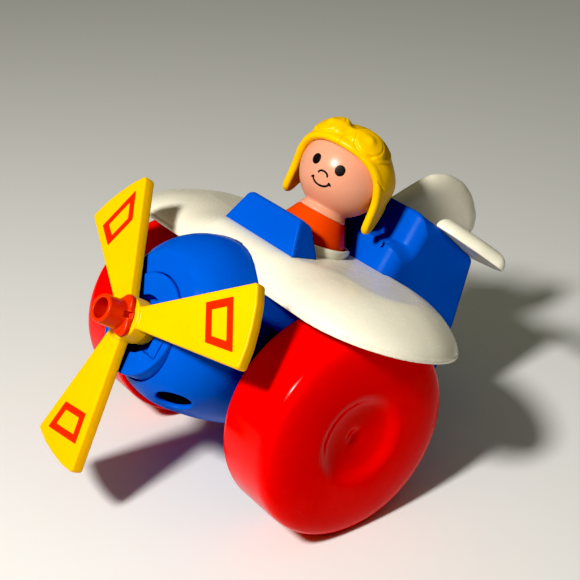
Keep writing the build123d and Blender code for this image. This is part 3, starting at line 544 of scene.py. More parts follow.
# ---------------------------------------------------------------- materials
MATERIALS = {
    "wing": plastic("wing_cream_plastic", (0.80, 0.755, 0.615), rough=0.24, spec=0.45,
                    sss=0.08, var=0.035, scuff=0.5, wave=0.35,
                    wear_colour=(0.62, 0.57, 0.44)),
    "blue": plastic("body_blue_plastic", (0.000, 0.083, 0.54), rough=0.40, spec=0.07,
                    var=0.07, scuff=0.45, wave=0.3),
    "red": plastic("wheel_red_plastic", (0.80, 0.000, 0.000), rough=0.17, spec=0.11,
                   var=0.06, scuff=0.30, wave=0.35, wear=0.15),
    "matt red": plastic("wheel_cover_red_plastic", (0.62, 0.001, 0.000), rough=0.33,
                        spec=0.15, var=0.08, scuff=0.5, wave=0.3, wear=0.2),
    "yellow": plastic("blade_yellow_plastic", (0.90, 0.47, 0.000), rough=0.38, spec=0.16,
                      var=0.05, scuff=0.45, grain=0.5, wave=0.25, wear=0.2),
    "print": plastic("label_red_ink", (0.78, 0.016, 0.001), rough=0.45, spec=0.12,
                     var=0.07, scuff=0.6, grain=0.9, wave=0.1, wear=0.5, wear_mm=0.25,
                     wear_colour=(0.93, 0.30, 0.01)),
    "hub": plastic("hub_orange_plastic", (0.62, 0.026, 0.001), rough=0.30, spec=0.16,
                   var=0.06, scuff=0.4, wave=0.2),
    "pilot": plastic("pilot_orange_plastic", (0.74, 0.055, 0.000), rough=0.36, spec=0.15,
                     var=0.06, scuff=0.4, wave=0.2),
    "skin": plastic("pilot_skin_plastic", (0.76, 0.32, 0.20), rough=0.33, spec=0.30,
                    sss=0.15, var=0.03, scuff=0.25, wave=0.15),
    "helmet": plastic("helmet_yellow_plastic", (0.90, 0.50, 0.000), rough=0.38, spec=0.18,
                      var=0.05, scuff=0.45, grain=0.6, wave=0.25, wear=0.25,
                      wear_colour=(0.98, 0.72, 0.05)),
    "ink": plastic("face_black_ink", (0.012, 0.010, 0.010), rough=0.45, spec=0.10, var=0.3,
                   scuff=0.2, wave=0.1, wear=0.1, wear_colour=(0.05, 0.04, 0.04)),
    "nylon": plastic("bearing_nylon", (0.72, 0.70, 0.62), rough=0.42, sss=0.1, var=0.05,
                     scuff=0.3, grain=0.6),
    "gear": plastic("gear_natural_plastic", (0.74, 0.72, 0.66), rough=0.38, var=0.05,
                    scuff=0.3, grain=0.6),
    "steel": plastic("bright_steel", (0.60, 0.60, 0.61), rough=0.27, metal=1.0, var=0.10,
                     scuff=0.8, grain=0.5, wave=0.05, wear=0.4,
                     wear_colour=(0.75, 0.75, 0.76)),
    "skid": plastic("skid_blue_plastic", (0.000, 0.085, 0.60), rough=0.40, var=0.08,
                    scuff=0.9, grain=0.8, wear=0.6),
}

CAD_MATERIALS = {
    "belly_cover": "blue", "belly_screws": "steel", "tail_skid": "skid",
    "shaft_bush_front": "nylon", "shaft_bracket": "nylon", "pilot_spindle": "steel",
    "spindle_clip": "steel", "axle": "steel", "wheel_cover_left": "matt red",
    "wheel_cover_right": "matt red", "hub_sleeve_left": "matt red",
    "hub_sleeve_right": "matt red", "axle_bush_left": "nylon", "axle_bush_right": "nylon",
    "crown_gear": "gear", "prop_shaft": "steel", "shaft_clip": "steel",
    "prop_pinion": "gear", "wing": "wing", "fuselage_shell": "blue", "nose_plate": "blue",
    "windshield": "blue", "cockpit_ring": "wing", "pilot_body": "pilot",
    "pilot_head": "skin", "helmet": "helmet", "tailplane": "wing", "tail_fin": "wing",
    "wheel_left": "red", "wheel_right": "red", "propeller": "yellow",
    "blade_labels": "print", "hub_knob": "hub",
}


def paint(piece, material):
    piece.data.materials.clear()
    piece.data.materials.append(MATERIALS[material])


def stand_in(piece, node, material):
    """Paints a piece and puts it in the CAD node's place."""
    paint(piece, material)
    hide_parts(node)


for cad_node, material_key in CAD_MATERIALS.items():
    paint(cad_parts[cad_node], material_key)

# ---------------------------------------------------------------- wing
WING_TILT = math.radians(13.33)                    # leans the wing's front edge down
WING_X, WING_Z = -66.0, 41.66                      # middle of its underside
HALF_CHORD, HALF_SPAN, TIP_R = 35.5, 88.3, 34.5
RIM_HEIGHT, WING_HEIGHT = 1.6, 14.35


def wing_frame(x, y, z):
    """Distance along the chord (forward), across, and above the wing's underside."""
    cos, sin = math.cos(WING_TILT), math.sin(WING_TILT)
    run, rise = x - WING_X, z - WING_Z
    return run * cos - rise * sin, y, run * sin + rise * cos


def wing_dome(along, across, height, offset=0.0):
    """Distance to the domed top, or to that surface moved inward by offset."""
    depth = -rounded_box(along, across, HALF_CHORD - offset, HALF_SPAN - offset,
                         TIP_R - offset)
    # the edge falls away over a wider band at the tips and along the front
    tip = smooth_step(40.0, 84.0, np.abs(across))
    front = smooth_step(-10.0, 12.0, along) * smooth_step(18.0, 40.0, np.abs(across))
    width = 13.0 + 17.0 * tip + 18.0 * front * (1 - 0.75 * tip) - offset
    power = 2.0 - 0.3 * tip
    rise = WING_HEIGHT - offset - RIM_HEIGHT
    side = np.maximum((width - depth) / width, 0)
    top = np.maximum((height - RIM_HEIGHT) / rise, 0)
    reach = (side ** power + top ** power) ** (1 / power)
    safe = np.maximum(reach, 1e-3)
    slope = np.sqrt(((side / safe) ** (power - 1) / width) ** 2
                    + ((top / safe) ** (power - 1) / rise) ** 2)
    slope = np.where(reach < 1e-3, 1 / rise, np.maximum(slope, 1 / 40.0))
    return (reach - 1) / slope


def wing_shape(x, y, z):
    bead_out, bead_r, bead_top = 0.45, 34.9, 1.7
    rib_half_length, rib_across, rib_half, rib_low, rib_high = 25, 37.5, 0.8, 1.2, 12.6
    nose_r, nose_back = 36.55, -72
    body_half_width, body_front = 29.55, -84.9
    cockpit_r, cockpit_low = 17.98, 40
    along, across, height = wing_frame(x, y, z)
    dome = wing_dome(along, across, height)
    bead = rounded_box(along, across, HALF_CHORD + bead_out, HALF_SPAN + bead_out, bead_r)
    shape = soft_min(dome, overlap(bead, below(height, bead_top)), 0.9)
    shape = round_max(shape, -height, 0.7)
    shape = round_cut(shape, wing_dome(along, across, height, WALL), 0.6)
    rib = overlap(np.abs(along) - rib_half_length, slab(np.abs(across), rib_across, rib_half),
                  above(height, rib_low), below(height, rib_high))
    shape = union(shape, overlap(rib, dome + 1.0))
    nose = overlap(np.hypot(y, z - NOSE_Z) - nose_r, above(x, nose_back))
    shape = round_cut(shape, nose, 0.6)
    shape = round_cut(shape, overlap(np.abs(y) - body_half_width, below(x, body_front)), 0.7)
    cockpit = overlap(np.hypot(x - PILOT_X, y) - cockpit_r, above(z, cockpit_low))
    return round_cut(shape, cockpit, 0.4)


wing = mould("wing_skin", wing_shape, (-106, -91, 24), (-24, 91, 66), spacing=0.72)
stand_in(wing, "wing", "wing")

# ---------------------------------------------------------------- fuselage
# side view of the rear body: x, z, corner radius
BODY_OUTLINE = rounded_outline([
    (-61.5, -15.9, 0), (-72, -23.68, 3), (-141, -1, 5), (-149, 9, 6), (-149, 20, 4),
    (-141, 55, 0), (-131, 84.2, 3.2), (-91, 90.5, 2.0), (-91, 75.5, 1.2), (-85, 72.3, 1.6),
    (-85, 49, 0), (-56, 49, 2), (-52, 44, 0)], steps=4)

# half section of the round nose: x, radius
NOSE_FRONT, NOSE_LOW, NOSE_FACE_R = -10.2, -20, 22.85
SHOULDER_X, SHOULDER_OUT, SHOULDER_R = -34.6, 7.6, 28.8
NOSE_SIDE_R, NOSE_STRAIGHT_X, NOSE_CURVE = 36.4, -42, 0.0042
NOSE_BACK = -72
SHOULDER = [(SHOULDER_X + SHOULDER_R * math.cos(angle),
             SHOULDER_OUT + SHOULDER_R * math.sin(angle))
            for angle in np.linspace(math.radians(32.1), math.pi / 2, 18)[1:]]
NOSE_SIDE = [(x, NOSE_SIDE_R - NOSE_CURVE * (NOSE_STRAIGHT_X - x) ** 2)
             for x in (NOSE_STRAIGHT_X, -46, -50, -54, -58, -62, -66, -69, NOSE_BACK)]
NOSE_OUTLINE = ([(NOSE_FRONT, NOSE_LOW), (NOSE_FRONT, NOSE_FACE_R)] + SHOULDER + NOSE_SIDE
                + [(NOSE_BACK, NOSE_LOW)])

# the sloping belly line, and the middle of the belly opening on it
BELLY_FRONT, BELLY_BACK = (-68.0, -25.0), (-141.0, -1.0)
BELLY_LENGTH = math.hypot(BELLY_FRONT[0] - BELLY_BACK[0], BELLY_FRONT[1] - BELLY_BACK[1])
BELLY_RUN = (BELLY_FRONT[0] - BELLY_BACK[0]) / BELLY_LENGTH
BELLY_RISE = (BELLY_FRONT[1] - BELLY_BACK[1]) / BELLY_LENGTH
BELLY_X = -106.0
BELLY_Z = BELLY_BACK[1] + (BELLY_X - BELLY_BACK[0]) * BELLY_RISE / BELLY_RUN
SCREW_ALONG, SCREW_ACROSS = 26.5, 22.5             # the four screws, from that middle


def rear_body(x, y, z):
    radius = 3.2 + 4.3 * smooth_step(-106, -93, x) * smooth_step(35, 50, z)
    return round_max(polygon(x, z, BODY_OUTLINE), np.abs(y) - BODY_HALF_WIDTH, radius)


def cut_belly(shape, x, y, z):
    """Adds the screw bosses and cuts the opening and the screw holes."""
    boss_r, hole_r = 3.4, 1.45
    along = (x - BELLY_X) * BELLY_RUN + (z - BELLY_Z) * BELLY_RISE
    under = (x - BELLY_X) * BELLY_RISE - (z - BELLY_Z) * BELLY_RUN
    screw = np.hypot(np.abs(along) - SCREW_ALONG, np.abs(y) - SCREW_ACROSS)
    shape = union(shape, overlap(screw - boss_r, above(under, -9.0), below(under, -1.0)))
    opening = rounded_box(along, y, half_x=22, half_y=18, radius=3)
    shape = cut(shape, overlap(opening, slab(under, -1, 3)))
    return cut(shape, overlap(screw - hole_r, above(under, -8.0), below(under, 2.0)))


def oval_hole(x, y, z, side):
    """Oval hole low on the nose, on the side (1 left, -1 right)."""
    long_r, short_r, half_depth = 7.3, 5.7, 9.0
    normal = unit(np.array((0.287, side * 0.526, -0.800)))
    lean = np.array((-0.500, side * 0.797, 0.345))
    long_axis = unit(lean - (lean @ normal) * normal)
    short_axis = np.cross(normal, long_axis)
    from_x, from_y, from_z = x + 26.2, y - side * 19.3, z + 20.5

    def along(axis):
        return from_x * axis[0] + from_y * axis[1] + from_z * axis[2]

    long_share, short_share = along(long_axis) / long_r, along(short_axis) / short_r
    reach = np.sqrt(long_share * long_share + short_share * short_share)
    slope = (np.sqrt((long_share / long_r) ** 2 + (short_share / short_r) ** 2)
             / np.maximum(reach, 1e-3))
    oval = (reach - 1) / np.maximum(slope, 1 / long_r)
    return overlap(oval, np.abs(along(normal)) - half_depth)


def fuselage_shape(x, y, z):
    plate_opening_r, plate_opening_back = 21.25, -24
    axle_recess_r, axle_hole_r = 9.0, 5.0
    deck_hole_x, deck_hole_y, deck_hole_r = -86.4, 20.6, 1.1
    nose = polygon(x, np.hypot(y, z - NOSE_Z), NOSE_OUTLINE)
    rear = rear_body(x, y, z)
    shape = soft_min(nose, rear, 1.2)
    shape = soft_cut(shape, union(nose + WALL, rear + WALL), 0.4)
    shape = cut_belly(shape, x, y, z)
    opening = overlap(np.hypot(y, z) - plate_opening_r, above(x, plate_opening_back))
    shape = round_cut(shape, opening, 0.6)
    axle = np.hypot(x - AXLE_X, z - AXLE_Z)
    shape = cut(shape, overlap(axle - axle_recess_r, above(np.abs(y), BODY_HALF_WIDTH)))
    shape = round_cut(shape, axle - axle_hole_r, 0.3)
    for side in (1, -1):
        shape = round_cut(shape, oval_hole(x, y, z, side), 0.9)
    shape = cut(shape, overlap(np.hypot(x - PILOT_X, y) - SPINDLE_HOLE_R, above(z, 30)))
    # small moulding hole at the foot of the rear deck
    hole = overlap(np.hypot(x - deck_hole_x, y - deck_hole_y) - deck_hole_r, above(z, 70.0))
    return soft_cut(shape, hole, 0.3)


fuselage = mould("fuselage_skin", fuselage_shape, (-153, -38, -31), (-5, 38, 94), spacing=0.62)
stand_in(fuselage, "fuselage_shell", "blue")


# ---------------------------------------------------------------- nose plate
def nose_plate_shape(x, y, z):
    plate_r, plate_x, plate_half = 20.95, -15.3, 6.5
    recess_r, recess_back = 11.6, -14.2
    back_channel_r, back_channel_half, back_channel_front = 12.5, 6.3, -16.8
    groove_half, groove_back = 0.34, -10.0
    bush_hole_r = 4.02
    radius = np.hypot(y, z)
    shape = round_max(radius - plate_r, slab(x, plate_x, plate_half), 0.9)
    shape = round_cut(shape, overlap(radius - recess_r, above(x, recess_back)), 0.6)
    # square bite out of the recess, low on the left
    bite = overlap(slab(y, 7.6, 4.0), slab(z, -4.6, 3.6), above(x, recess_back))
    shape = round_cut(shape, bite, 0.4)
    shape = cut(shape, overlap(slab(radius, back_channel_r, back_channel_half),
                               below(x, back_channel_front)))
    # L-shaped groove in the front face
    level_leg = overlap(slab(y, 14.9, 2.9), slab(z, -7.8, groove_half))
    upright_leg = overlap(slab(y, 17.45, groove_half), slab(z, -4.2, 3.95))
    groove = overlap(union(level_leg, upright_leg), above(x, groove_back))
    shape = soft_cut(shape, groove, 0.25)
    return cut(shape, radius - bush_hole_r)


plate = mould("nose_plate_face", nose_plate_shape, (-24, -23, -23), (-6, 23, 23), spacing=0.42)
stand_in(plate, "nose_plate", "blue")

# ---------------------------------------------------------------- windshield
# side view: x, z, corner radius
SHIELD_SIDE = rounded_outline([
    (-40.3, 36.0, 0), (-40.6, 65.6, 2.4), (-48.1, 64.1, 2.6), (-54.5, 54.3, 3.0),
    (-57.5, 36.0, 0)], steps=6)
# front view: y, z, corner radius
SHIELD_FRONT = rounded_outline([
    (-32, 36.0, 0), (-24.0, 50.3, 6), (-17.2, 65.7, 3.0), (17.2, 65.7, 3.0),
    (24.0, 50.3, 6), (32, 36.0, 0)], steps=6)


def windshield_shape(x, y, z):
    wall, ridge_x, ridge_z = 2.3, -44.0, 61.6
    cockpit_r, nose_r = 18.7, 36.8
    side, front = polygon(x, z, SHIELD_SIDE), polygon(y, z, SHIELD_FRONT)
    shape = round_max(side, front, 1.1)
    shape = soft_cut(shape, overlap(side + wall, front + wall), 0.6)
    # open at the back under the ridge
    opening = overlap(below(x, ridge_x), below(z, ridge_z), front + wall)
    shape = soft_cut(shape, opening, 0.8)
    shape = round_cut(shape, np.hypot(x - PILOT_X, y) - cockpit_r, 0.5)
    shape = cut(shape, wing_dome(*wing_frame(x, y, z)) - FIT_GAP)
    return cut(shape, np.hypot(y, z - NOSE_Z) - nose_r)


shield = mould("windshield_shell", windshield_shape, (-60, -33, 40), (-36, 33, 69), spacing=0.5)
stand_in(shield, "windshield", "blue")


# ---------------------------------------------------------------- cockpit ring
def cockpit_ring_shape(x, y, z):
    ring_r, ring_half, ring_low, ring_high = 16.8, 1.1, 49.0, 63.0
    floor_r, floor_z, floor_half = 16.5, 50.5, 1.5
    radius = np.hypot(x - PILOT_X, y)
    # the top slopes down toward the front and is level at the back
    slope = (z - 59.9 + 0.18 * (x - PILOT_X)) * 0.984
    top = soft_max(slope, below(z, ring_high), 0.5)
    wall = overlap(round_max(slab(radius, ring_r, ring_half), top, 0.9), above(z, ring_low))
    base = overlap(slab(z, floor_z, floor_half), radius - floor_r,
                   above(radius, SPINDLE_HOLE_R))
    return soft_min(wall, base, 0.5)


cockpit_ring = mould("cockpit_ring_collar", cockpit_ring_shape,
                     (PILOT_X - 20, -20, 47), (PILOT_X + 20, 20, 65), spacing=0.4)
stand_in(cockpit_ring, "cockpit_ring", "wing")

# ---------------------------------------------------------------- pilot's body and head
NECK_Z = 70.2
PILOT_AXIS = {"origin": (PILOT_X, 0, 0), "axis": (0, 0, 1), "body": "pilot"}
# z, radius, corner radius
TORSO_PROFILE = rounded_outline([
    (53.3, SPINDLE_BORE_R, 0), (53.3, 14.6, 0.4), (54.2, 15.3, 0.5), (62.0, 15.3, 2.5),
    (63.6, 14.45, 2.0), (66.5, 12.75, 3.0), (69.2, 11.35, 1.2), (NECK_Z, 10.7, 0.35),
    (NECK_Z, SPINDLE_BORE_R, 0)], steps=5)


def head_profile():
    """(z, radius) from the blind spindle bore over the neck and ball to the crown."""
    bore_top, neck_r, crown_drop = 76.2, 9.4, 1.2
    ball_z = HEAD_Z - math.sqrt(HEAD_R ** 2 - neck_r ** 2)
    start = math.atan2(ball_z - HEAD_Z, neck_r)
    profile = [(bore_top, 0.0), (bore_top, SPINDLE_BORE_R)] + rounded_outline([
        (NECK_Z, SPINDLE_BORE_R, 0), (NECK_Z, 10.35, 0.45), (71.0, 10.5, 0.8),
        (72.7, 9.55, 1.0), (ball_z - 0.4, 9.35, 0)], steps=5)
    for angle in np.linspace(start + 0.04, math.pi / 2 - 0.03, 54):
        radius = HEAD_R - crown_drop * float(smooth_step(0.524, 1.134, angle))
        profile.append((HEAD_Z + radius * math.sin(angle), radius * math.cos(angle)))
    return profile + [(HEAD_Z + HEAD_R - crown_drop, 0.0)]


torso = lathe("pilot_torso", TORSO_PROFILE, **PILOT_AXIS, segments=160, closed=True)
stand_in(torso, "pilot_body", "pilot")
head = lathe("pilot_head_ball", head_profile(), **PILOT_AXIS, segments=160, closed=False)
stand_in(head, "pilot_head", "skin")

# ---------------------------------------------------------------- face
HEAD_CENTRE = np.array((PILOT_X, 0.0, HEAD_Z))
HEAD_FORWARD = np.array((math.cos(HEAD_YAW), math.sin(HEAD_YAW), 0.0))
HEAD_LEFT = np.array((-math.sin(HEAD_YAW), math.cos(HEAD_YAW), 0.0))
HEAD_UP = np.array((0.0, 0.0, 1.0))


def head_direction(yaw, elevation):
    """Direction from the head's centre; degrees, yaw positive to the head's left."""
    yaw, elevation = math.radians(yaw), math.radians(elevation)
    level = HEAD_FORWARD * math.cos(yaw) + HEAD_LEFT * math.sin(yaw)
    return math.cos(elevation) * level + HEAD_UP * math.sin(elevation)


def add_ink(name, points, faces):
    piece = add_mesh(name, points, faces, "pilot")
    face_outward(piece)
    paint(piece, "ink")


def face_dot(name, yaw, elevation, half_width, half_height):
    """Slightly raised oval of ink, closed underneath inside the head's skin."""
    rise, steps, segments = 0.16, 9, 56
    centre = head_direction(yaw, elevation)
    up = unit(HEAD_UP - (HEAD_UP @ centre) * centre)
    side = np.cross(up, centre)
    rings = []
    for i in range(steps + 1):
        share = i / steps
        ring = []
        for k in range(segments if i else 1):
            angle = 2 * math.pi * k / segments
            across = half_width * share * math.cos(angle)
            height = half_height * share * math.sin(angle)
            direction = unit(centre * HEAD_R + side * across + up * height)
            lift = rise * math.sqrt(max(0.0, 1 - share ** 6))
            ring.append(HEAD_CENTRE + direction * (HEAD_R - 0.02 + lift))
        rings.append(ring)
    shrink = (HEAD_R - 0.35) / HEAD_R
    rings.append([HEAD_CENTRE + (point - HEAD_CENTRE) * shrink for point in rings[-1]])
    rings.append([HEAD_CENTRE + centre * (HEAD_R - 0.45)])
    add_ink(name, *join_rings(rings))


# stroke section: across (in half widths), height (in rises)
STROKE_SECTION = [(-1, -0.25), (-0.95, 0.35), (-0.6, 0.85), (0, 1),
                  (0.6, 0.85), (0.95, 0.35), (1, -0.25), (0, -1.6)]


def face_line(name, points, half_width):
    """Ink stroke with round ends over the head through (yaw, elevation) points."""
    rise, curve_steps, end_steps = 0.12, 7, 4
    centres = np.array([HEAD_CENTRE + HEAD_R * head_direction(yaw, elevation)
                        for yaw, elevation in smooth_curve(points, curve_steps)])
    tangents = np.gradient(centres, axis=0)
    tangents /= np.linalg.norm(tangents, axis=1, keepdims=True)
    # station: index on the curve, offset along it, size of the section
    angles = [math.pi / 2 * k / end_steps for k in range(end_steps)]
    start = [(0, -math.cos(angle) * half_width, max(0.12, math.sin(angle)))
             for angle in angles]
    end = [(len(centres) - 1, -offset, size) for _, offset, size in reversed(start)]
    rings = []
    for i, offset, size in start + [(i, 0.0, 1.0) for i in range(len(centres))] + end:
        centre = centres[i] + tangents[i] * offset
        normal = unit(centre - HEAD_CENTRE)
        side = unit(np.cross(normal, tangents[i]))
        rings.append([
            HEAD_CENTRE + normal * (HEAD_R + height * rise * (size if height > 0 else 1))
            + side * (across * half_width * size) for across, height in STROKE_SECTION])
    vertices, faces = join_rings(rings)
    count = len(STROKE_SECTION)
    faces.append(tuple(reversed(range(count))))
    faces.append(tuple(range(len(vertices) - count, len(vertices))))
    add_ink(name, vertices, faces)


# strokes: yaw, elevation in degrees
NOSE_ARC = [(-7.0, -15.6), (-5.4, -13.4), (-2.6, -12.1), (0.4, -11.9), (3.4, -12.5),
            (5.8, -14.0), (7.0, -16.0)]
SMILE_ARC = [(-13.8, -23.4), (-11.4, -26.8), (-8.0, -29.2), (-4.0, -30.4), (0, -30.8),
             (4.0, -30.4), (8.0, -29.2), (11.4, -26.8), (13.8, -23.4)]
SMILE_TICK = [(15.6, -24.8), (14.2, -23.8), (12.4, -23.0)]

for side_name, side in (("left", 1), ("right", -1)):
    face_dot("face_eye_" + side_name, yaw=side * 18.2, elevation=-2.1,
             half_width=2.2, half_height=2.34)
face_line("face_nose_arc", NOSE_ARC, half_width=0.44)
face_line("face_smile_arc", SMILE_ARC, half_width=0.46)
for side_name, side in (("right", -1), ("left", 1)):
    tick = [(side * yaw, elevation) for yaw, elevation in SMILE_TICK]
    face_line("face_smile_tick_" + side_name, tick, half_width=0.40)

# ---------------------------------------------------------------- helmet
# The opening is drawn on the unrolled shell: distance round from the face, height, both in mm.
HELMET_R = 20.4
MM_PER_DEGREE = HELMET_R * math.pi / 180
# front edge: yaw, elevation in degrees
HELMET_EDGE = [(0, 24.6), (12, 24.2), (24, 22.9), (35, 20.4), (49, 14.6), (61, 5.6),
               (68, -3), (74, -12), (79, -24)]
# lower edge round the ear flap to the back: yaw in degrees, height in mm
HELMET_FLAP = [(83.5, -15.6), (86.5, -17.4), (91.0, -18.1), (97.0, -17.6), (102, -15.8),
               (107, -12.6), (113, -9.2), (121, -6.4), (132, -4.8), (150, -4.2), (180, -4.2)]


def helmet_outline():
    edge = [(yaw * MM_PER_DEGREE,
             elevation * MM_PER_DEGREE if elevation >= 0
             else HELMET_R * math.sin(math.radians(elevation)))
            for yaw, elevation in HELMET_EDGE]
    flap = [(yaw * MM_PER_DEGREE, height) for yaw, height in HELMET_FLAP]
    curve = smooth_curve(edge + flap, 3)
    front, back, top = -8.0, 190 * MM_PER_DEGREE, 60
    return [(front, curve[0][1])] + curve + [(back, curve[-1][1]), (back, top), (front, top)]


HELMET_OUTLINE = helmet_outline()
GOGGLE_YAW, GOGGLE_ELEVATION = math.radians(35.0), math.radians(41.5)
# directions of the left and right goggle: forward, left, up
GOGGLES = [np.array((math.cos(GOGGLE_ELEVATION) * math.cos(side * GOGGLE_YAW),
                     math.cos(GOGGLE_ELEVATION) * math.sin(side * GOGGLE_YAW),
                     math.sin(GOGGLE_ELEVATION))) for side in (1, -1)]
GOGGLE_SEAT_R = 18.95              # nothing of the goggles reaches deeper than this


def add_goggles(shape, forward, left, up, distance, opening):
    """Blends in the two cups with domed lenses and the bridge across the brow."""
    cup_r, cup_top, lens_r, lens_centre, lens_ball_r = 7.7, 22.45, 5.9, 8.2, 15.25
    groove_r, groove_width, groove_depth = 6.2, 0.6, 0.34
    bridge_out, bridge_r = 22.0, 1.9
    seat = above(distance, GOGGLE_SEAT_R)
    for goggle in GOGGLES:
        along = forward * goggle[0] + left * goggle[1] + up * goggle[2]
        aside = np.sqrt(np.maximum(distance * distance - along * along, 0))
        cup = round_max(aside - cup_r, along - cup_top, 2.3)
        cup = overlap(cup, seat, above(along, 8.0))
        ball = np.sqrt(aside * aside + (along - lens_centre) ** 2) - lens_ball_r
        lens = overlap(round_max(ball, aside - lens_r, 0.5), above(along, 14.0))
        shape = soft_min(shape, round_max(cup, opening + 3.4, 1.2), 2.2)
        groove = np.exp(-((aside - groove_r) / groove_width) ** 2)
        shape = shape + groove_depth * groove * (along > 18)
        shape = soft_min(shape, overlap(lens, seat), 0.6)
    start, end = GOGGLES[0] * bridge_out, GOGGLES[1] * bridge_out
    span = end - start
    share = np.clip(((forward - start[0]) * span[0] + (left - start[1]) * span[1]
                     + (up - start[2]) * span[2]) / (span @ span), 0, 1)
    bridge = np.sqrt((forward - start[0] - span[0] * share) ** 2
                     + (left - start[1] - span[1] * share) ** 2
                     + ((up - start[2] - span[2] * share) * 0.85) ** 2) - bridge_r
    return soft_min(shape, overlap(bridge, seat), 1.5)


def carve_helmet(shape, forward, left, up, distance, radius, yaw):
    """Sinks the strap band, the brow seam and the creases above the ear flaps."""
    strap_depth, strap_half = 0.55, 3.1
    seam_depth, seam_width = 0.30, 0.32
    crease_depth, crease_width, crease_yaw = 0.50, 0.42, math.radians(69)
    strap = np.abs(forward * 0.36 + up * 0.933 - 15.9) - strap_half
    shape = shape - (strap_depth * smooth_step(0.5, -0.5, strap)
                     * smooth_step(19.6, 20.6, distance)
                     * smooth_step(0, 1, np.maximum(np.abs(left) - 15.5, 2.0 - forward) / 2.0))
    seam = (np.exp(-(left / seam_width) ** 2) * smooth_step(14.5, 13.0, up) * (forward > 0)
            * smooth_step(19.8, 20.8, distance))
    shape = shape + seam_depth * seam
    aside = (yaw - crease_yaw) * HELMET_R
    crease = (np.exp(-((aside * 0.35 + (up - 2.0) * 0.94) / crease_width) ** 2)
              * smooth_step(3.4, 1.2, np.abs(yaw - crease_yaw) * HELMET_R))
    return shape + crease_depth * crease * smooth_step(19.8, 20.8, radius)


def helmet_shape(x, y, z):
    outer_r, inner_r = 21.75, 18.95
    bead_in, bead_centre_r, bead_r, bead_seat_r = 1.35, 20.42, 1.56, 18.85
    from_x, from_y, up = x - HEAD_CENTRE[0], y - HEAD_CENTRE[1], z - HEAD_CENTRE[2]
    forward = from_x * HEAD_FORWARD[0] + from_y * HEAD_FORWARD[1]
    left = from_x * HEAD_LEFT[0] + from_y * HEAD_LEFT[1]
    level = np.hypot(forward, left)
    # a ball above the head's centre and a cylinder below it
    over, under = np.maximum(up, 0), np.maximum(-up, 0)
    radius = np.sqrt(level * level + over * over)
    yaw = np.abs(np.arctan2(left, forward))
    reach = np.maximum(np.hypot(level, up), 1e-6)
    elevation = np.arcsin(np.clip(up / reach, -1, 1))
    # both skins come in toward the crown
    crown = smooth_step(0.25, 0.75, (0.94 * up - 0.35 * forward) / reach)
    outer = radius - (outer_r - 0.045 * under - 1.8 * crown)
    inner = radius - (inner_r + 0.012 * under - 1.1 * smooth_step(0.663, 1.257, elevation))
    height = np.where(up >= 0, elevation * HELMET_R, up)
    opening = polygon(yaw * HELMET_R, height, HELMET_OUTLINE)
    shape = round_max(round_cut(outer, inner, 0.7), opening, 1.05)
    # rolled rim: a fatter bead along the opening and the flaps
    bead = np.hypot(opening + bead_in, radius - bead_centre_r) - bead_r
    shape = soft_min(shape, overlap(bead, above(radius, bead_seat_r)), 1.0)
    distance = np.sqrt(forward * forward + left * left + up * up)
    shape = add_goggles(shape, forward, left, up, distance, opening)
    return carve_helmet(shape, forward, left, up, distance, radius, yaw)


helmet = mould("helmet_moulded", helmet_shape, (PILOT_X - 26, -26, HEAD_Z - 20),
               (PILOT_X + 27, 27, HEAD_Z + 26), spacing=0.42, body="pilot")
stand_in(helmet, "helmet", "helmet")

# ---------------------------------------------------------------- tail
# top edge of the fin, front to back: x, z
FIN_EDGE = [(-98.6, 91.3), (-106.4, 101.1), (-111.7, 106.9), (-116.2, 109.7),
            (-122.4, 111.7), (-131.8, 112.1), (-140.3, 109.6), (-146.6, 105.6),
            (-150.3, 102.3), (-153.0, 96.8)]
FIN_OUTLINE = ([(-92.0, 80.0)] + smooth_curve(FIN_EDGE, 4)
               + [(-151.6, 92.0), (-144.0, 88.6), (-128.5, 84.0), (-120.0, 78.0)])
# half of the tailplane from above: forward, outward, corner radius
TAILPLANE_OUTLINE = rounded_outline([
    (16.4, 8.0, 0), (15.0, 24.8, 8), (11.0, 33.0, 10), (3.0, 43.5, 14), (-8.0, 53.0, 6.5),
    (-13.0, 43.5, 9), (-17.0, 24.8, 4), (-18.6, 8.0, 0)], steps=8)
TAILPLANE_X, TAILPLANE_Z = -116.4, 86.5
TAILPLANE_COS, TAILPLANE_SIN = 0.9878, 0.1556      # its front leans up


def whole_tailplane(x, y, z):
    root, web_x, web_half_length, web_half_width, web_top = 25.4, -8.0, 6.5, 26.6, 2.0
    run, rise, outward = x - TAILPLANE_X, z - TAILPLANE_Z, np.abs(y)
    along = run * TAILPLANE_COS + rise * TAILPLANE_SIN
    height = -run * TAILPLANE_SIN + rise * TAILPLANE_COS
    rim = soft_edge(-polygon(along, outward, TAILPLANE_OUTLINE), height - 1.0,
                    width=7.5, rise=5.6)
    shape = round_max(rim, -height, 0.6)
    shape = round_max(shape, above(outward, root), 1.0)
    # flat web that joins the two halves
    web = round_max(slab(along, web_x, web_half_length), outward - web_half_width, 0.3)
    web = round_max(web, overlap(below(height, web_top), -height), 0.5)
    return union(shape, web)


def tailplane_shape(x, y, z):
    return cut(whole_tailplane(x, y, z), rear_body(x, y, z) - FIT_GAP)


def fin_shape(x, y, z):
    shape = soft_edge(-polygon(x, z, FIN_OUTLINE), np.abs(y), width=8.0, rise=4.3)
    shape = cut(shape, rear_body(x, y, z) - FIT_GAP)
    return cut(shape, whole_tailplane(x, y, z) - FIT_GAP)


tailplane = mould("tailplane_skin", tailplane_shape, (-136, -56, 80), (-98, 56, 96), spacing=0.5)
stand_in(tailplane, "tailplane", "wing")
fin = mould("tail_fin_skin", fin_shape, (-157, -6, 82), (-92, 6, 116), spacing=0.5)
stand_in(fin, "tail_fin", "wing")

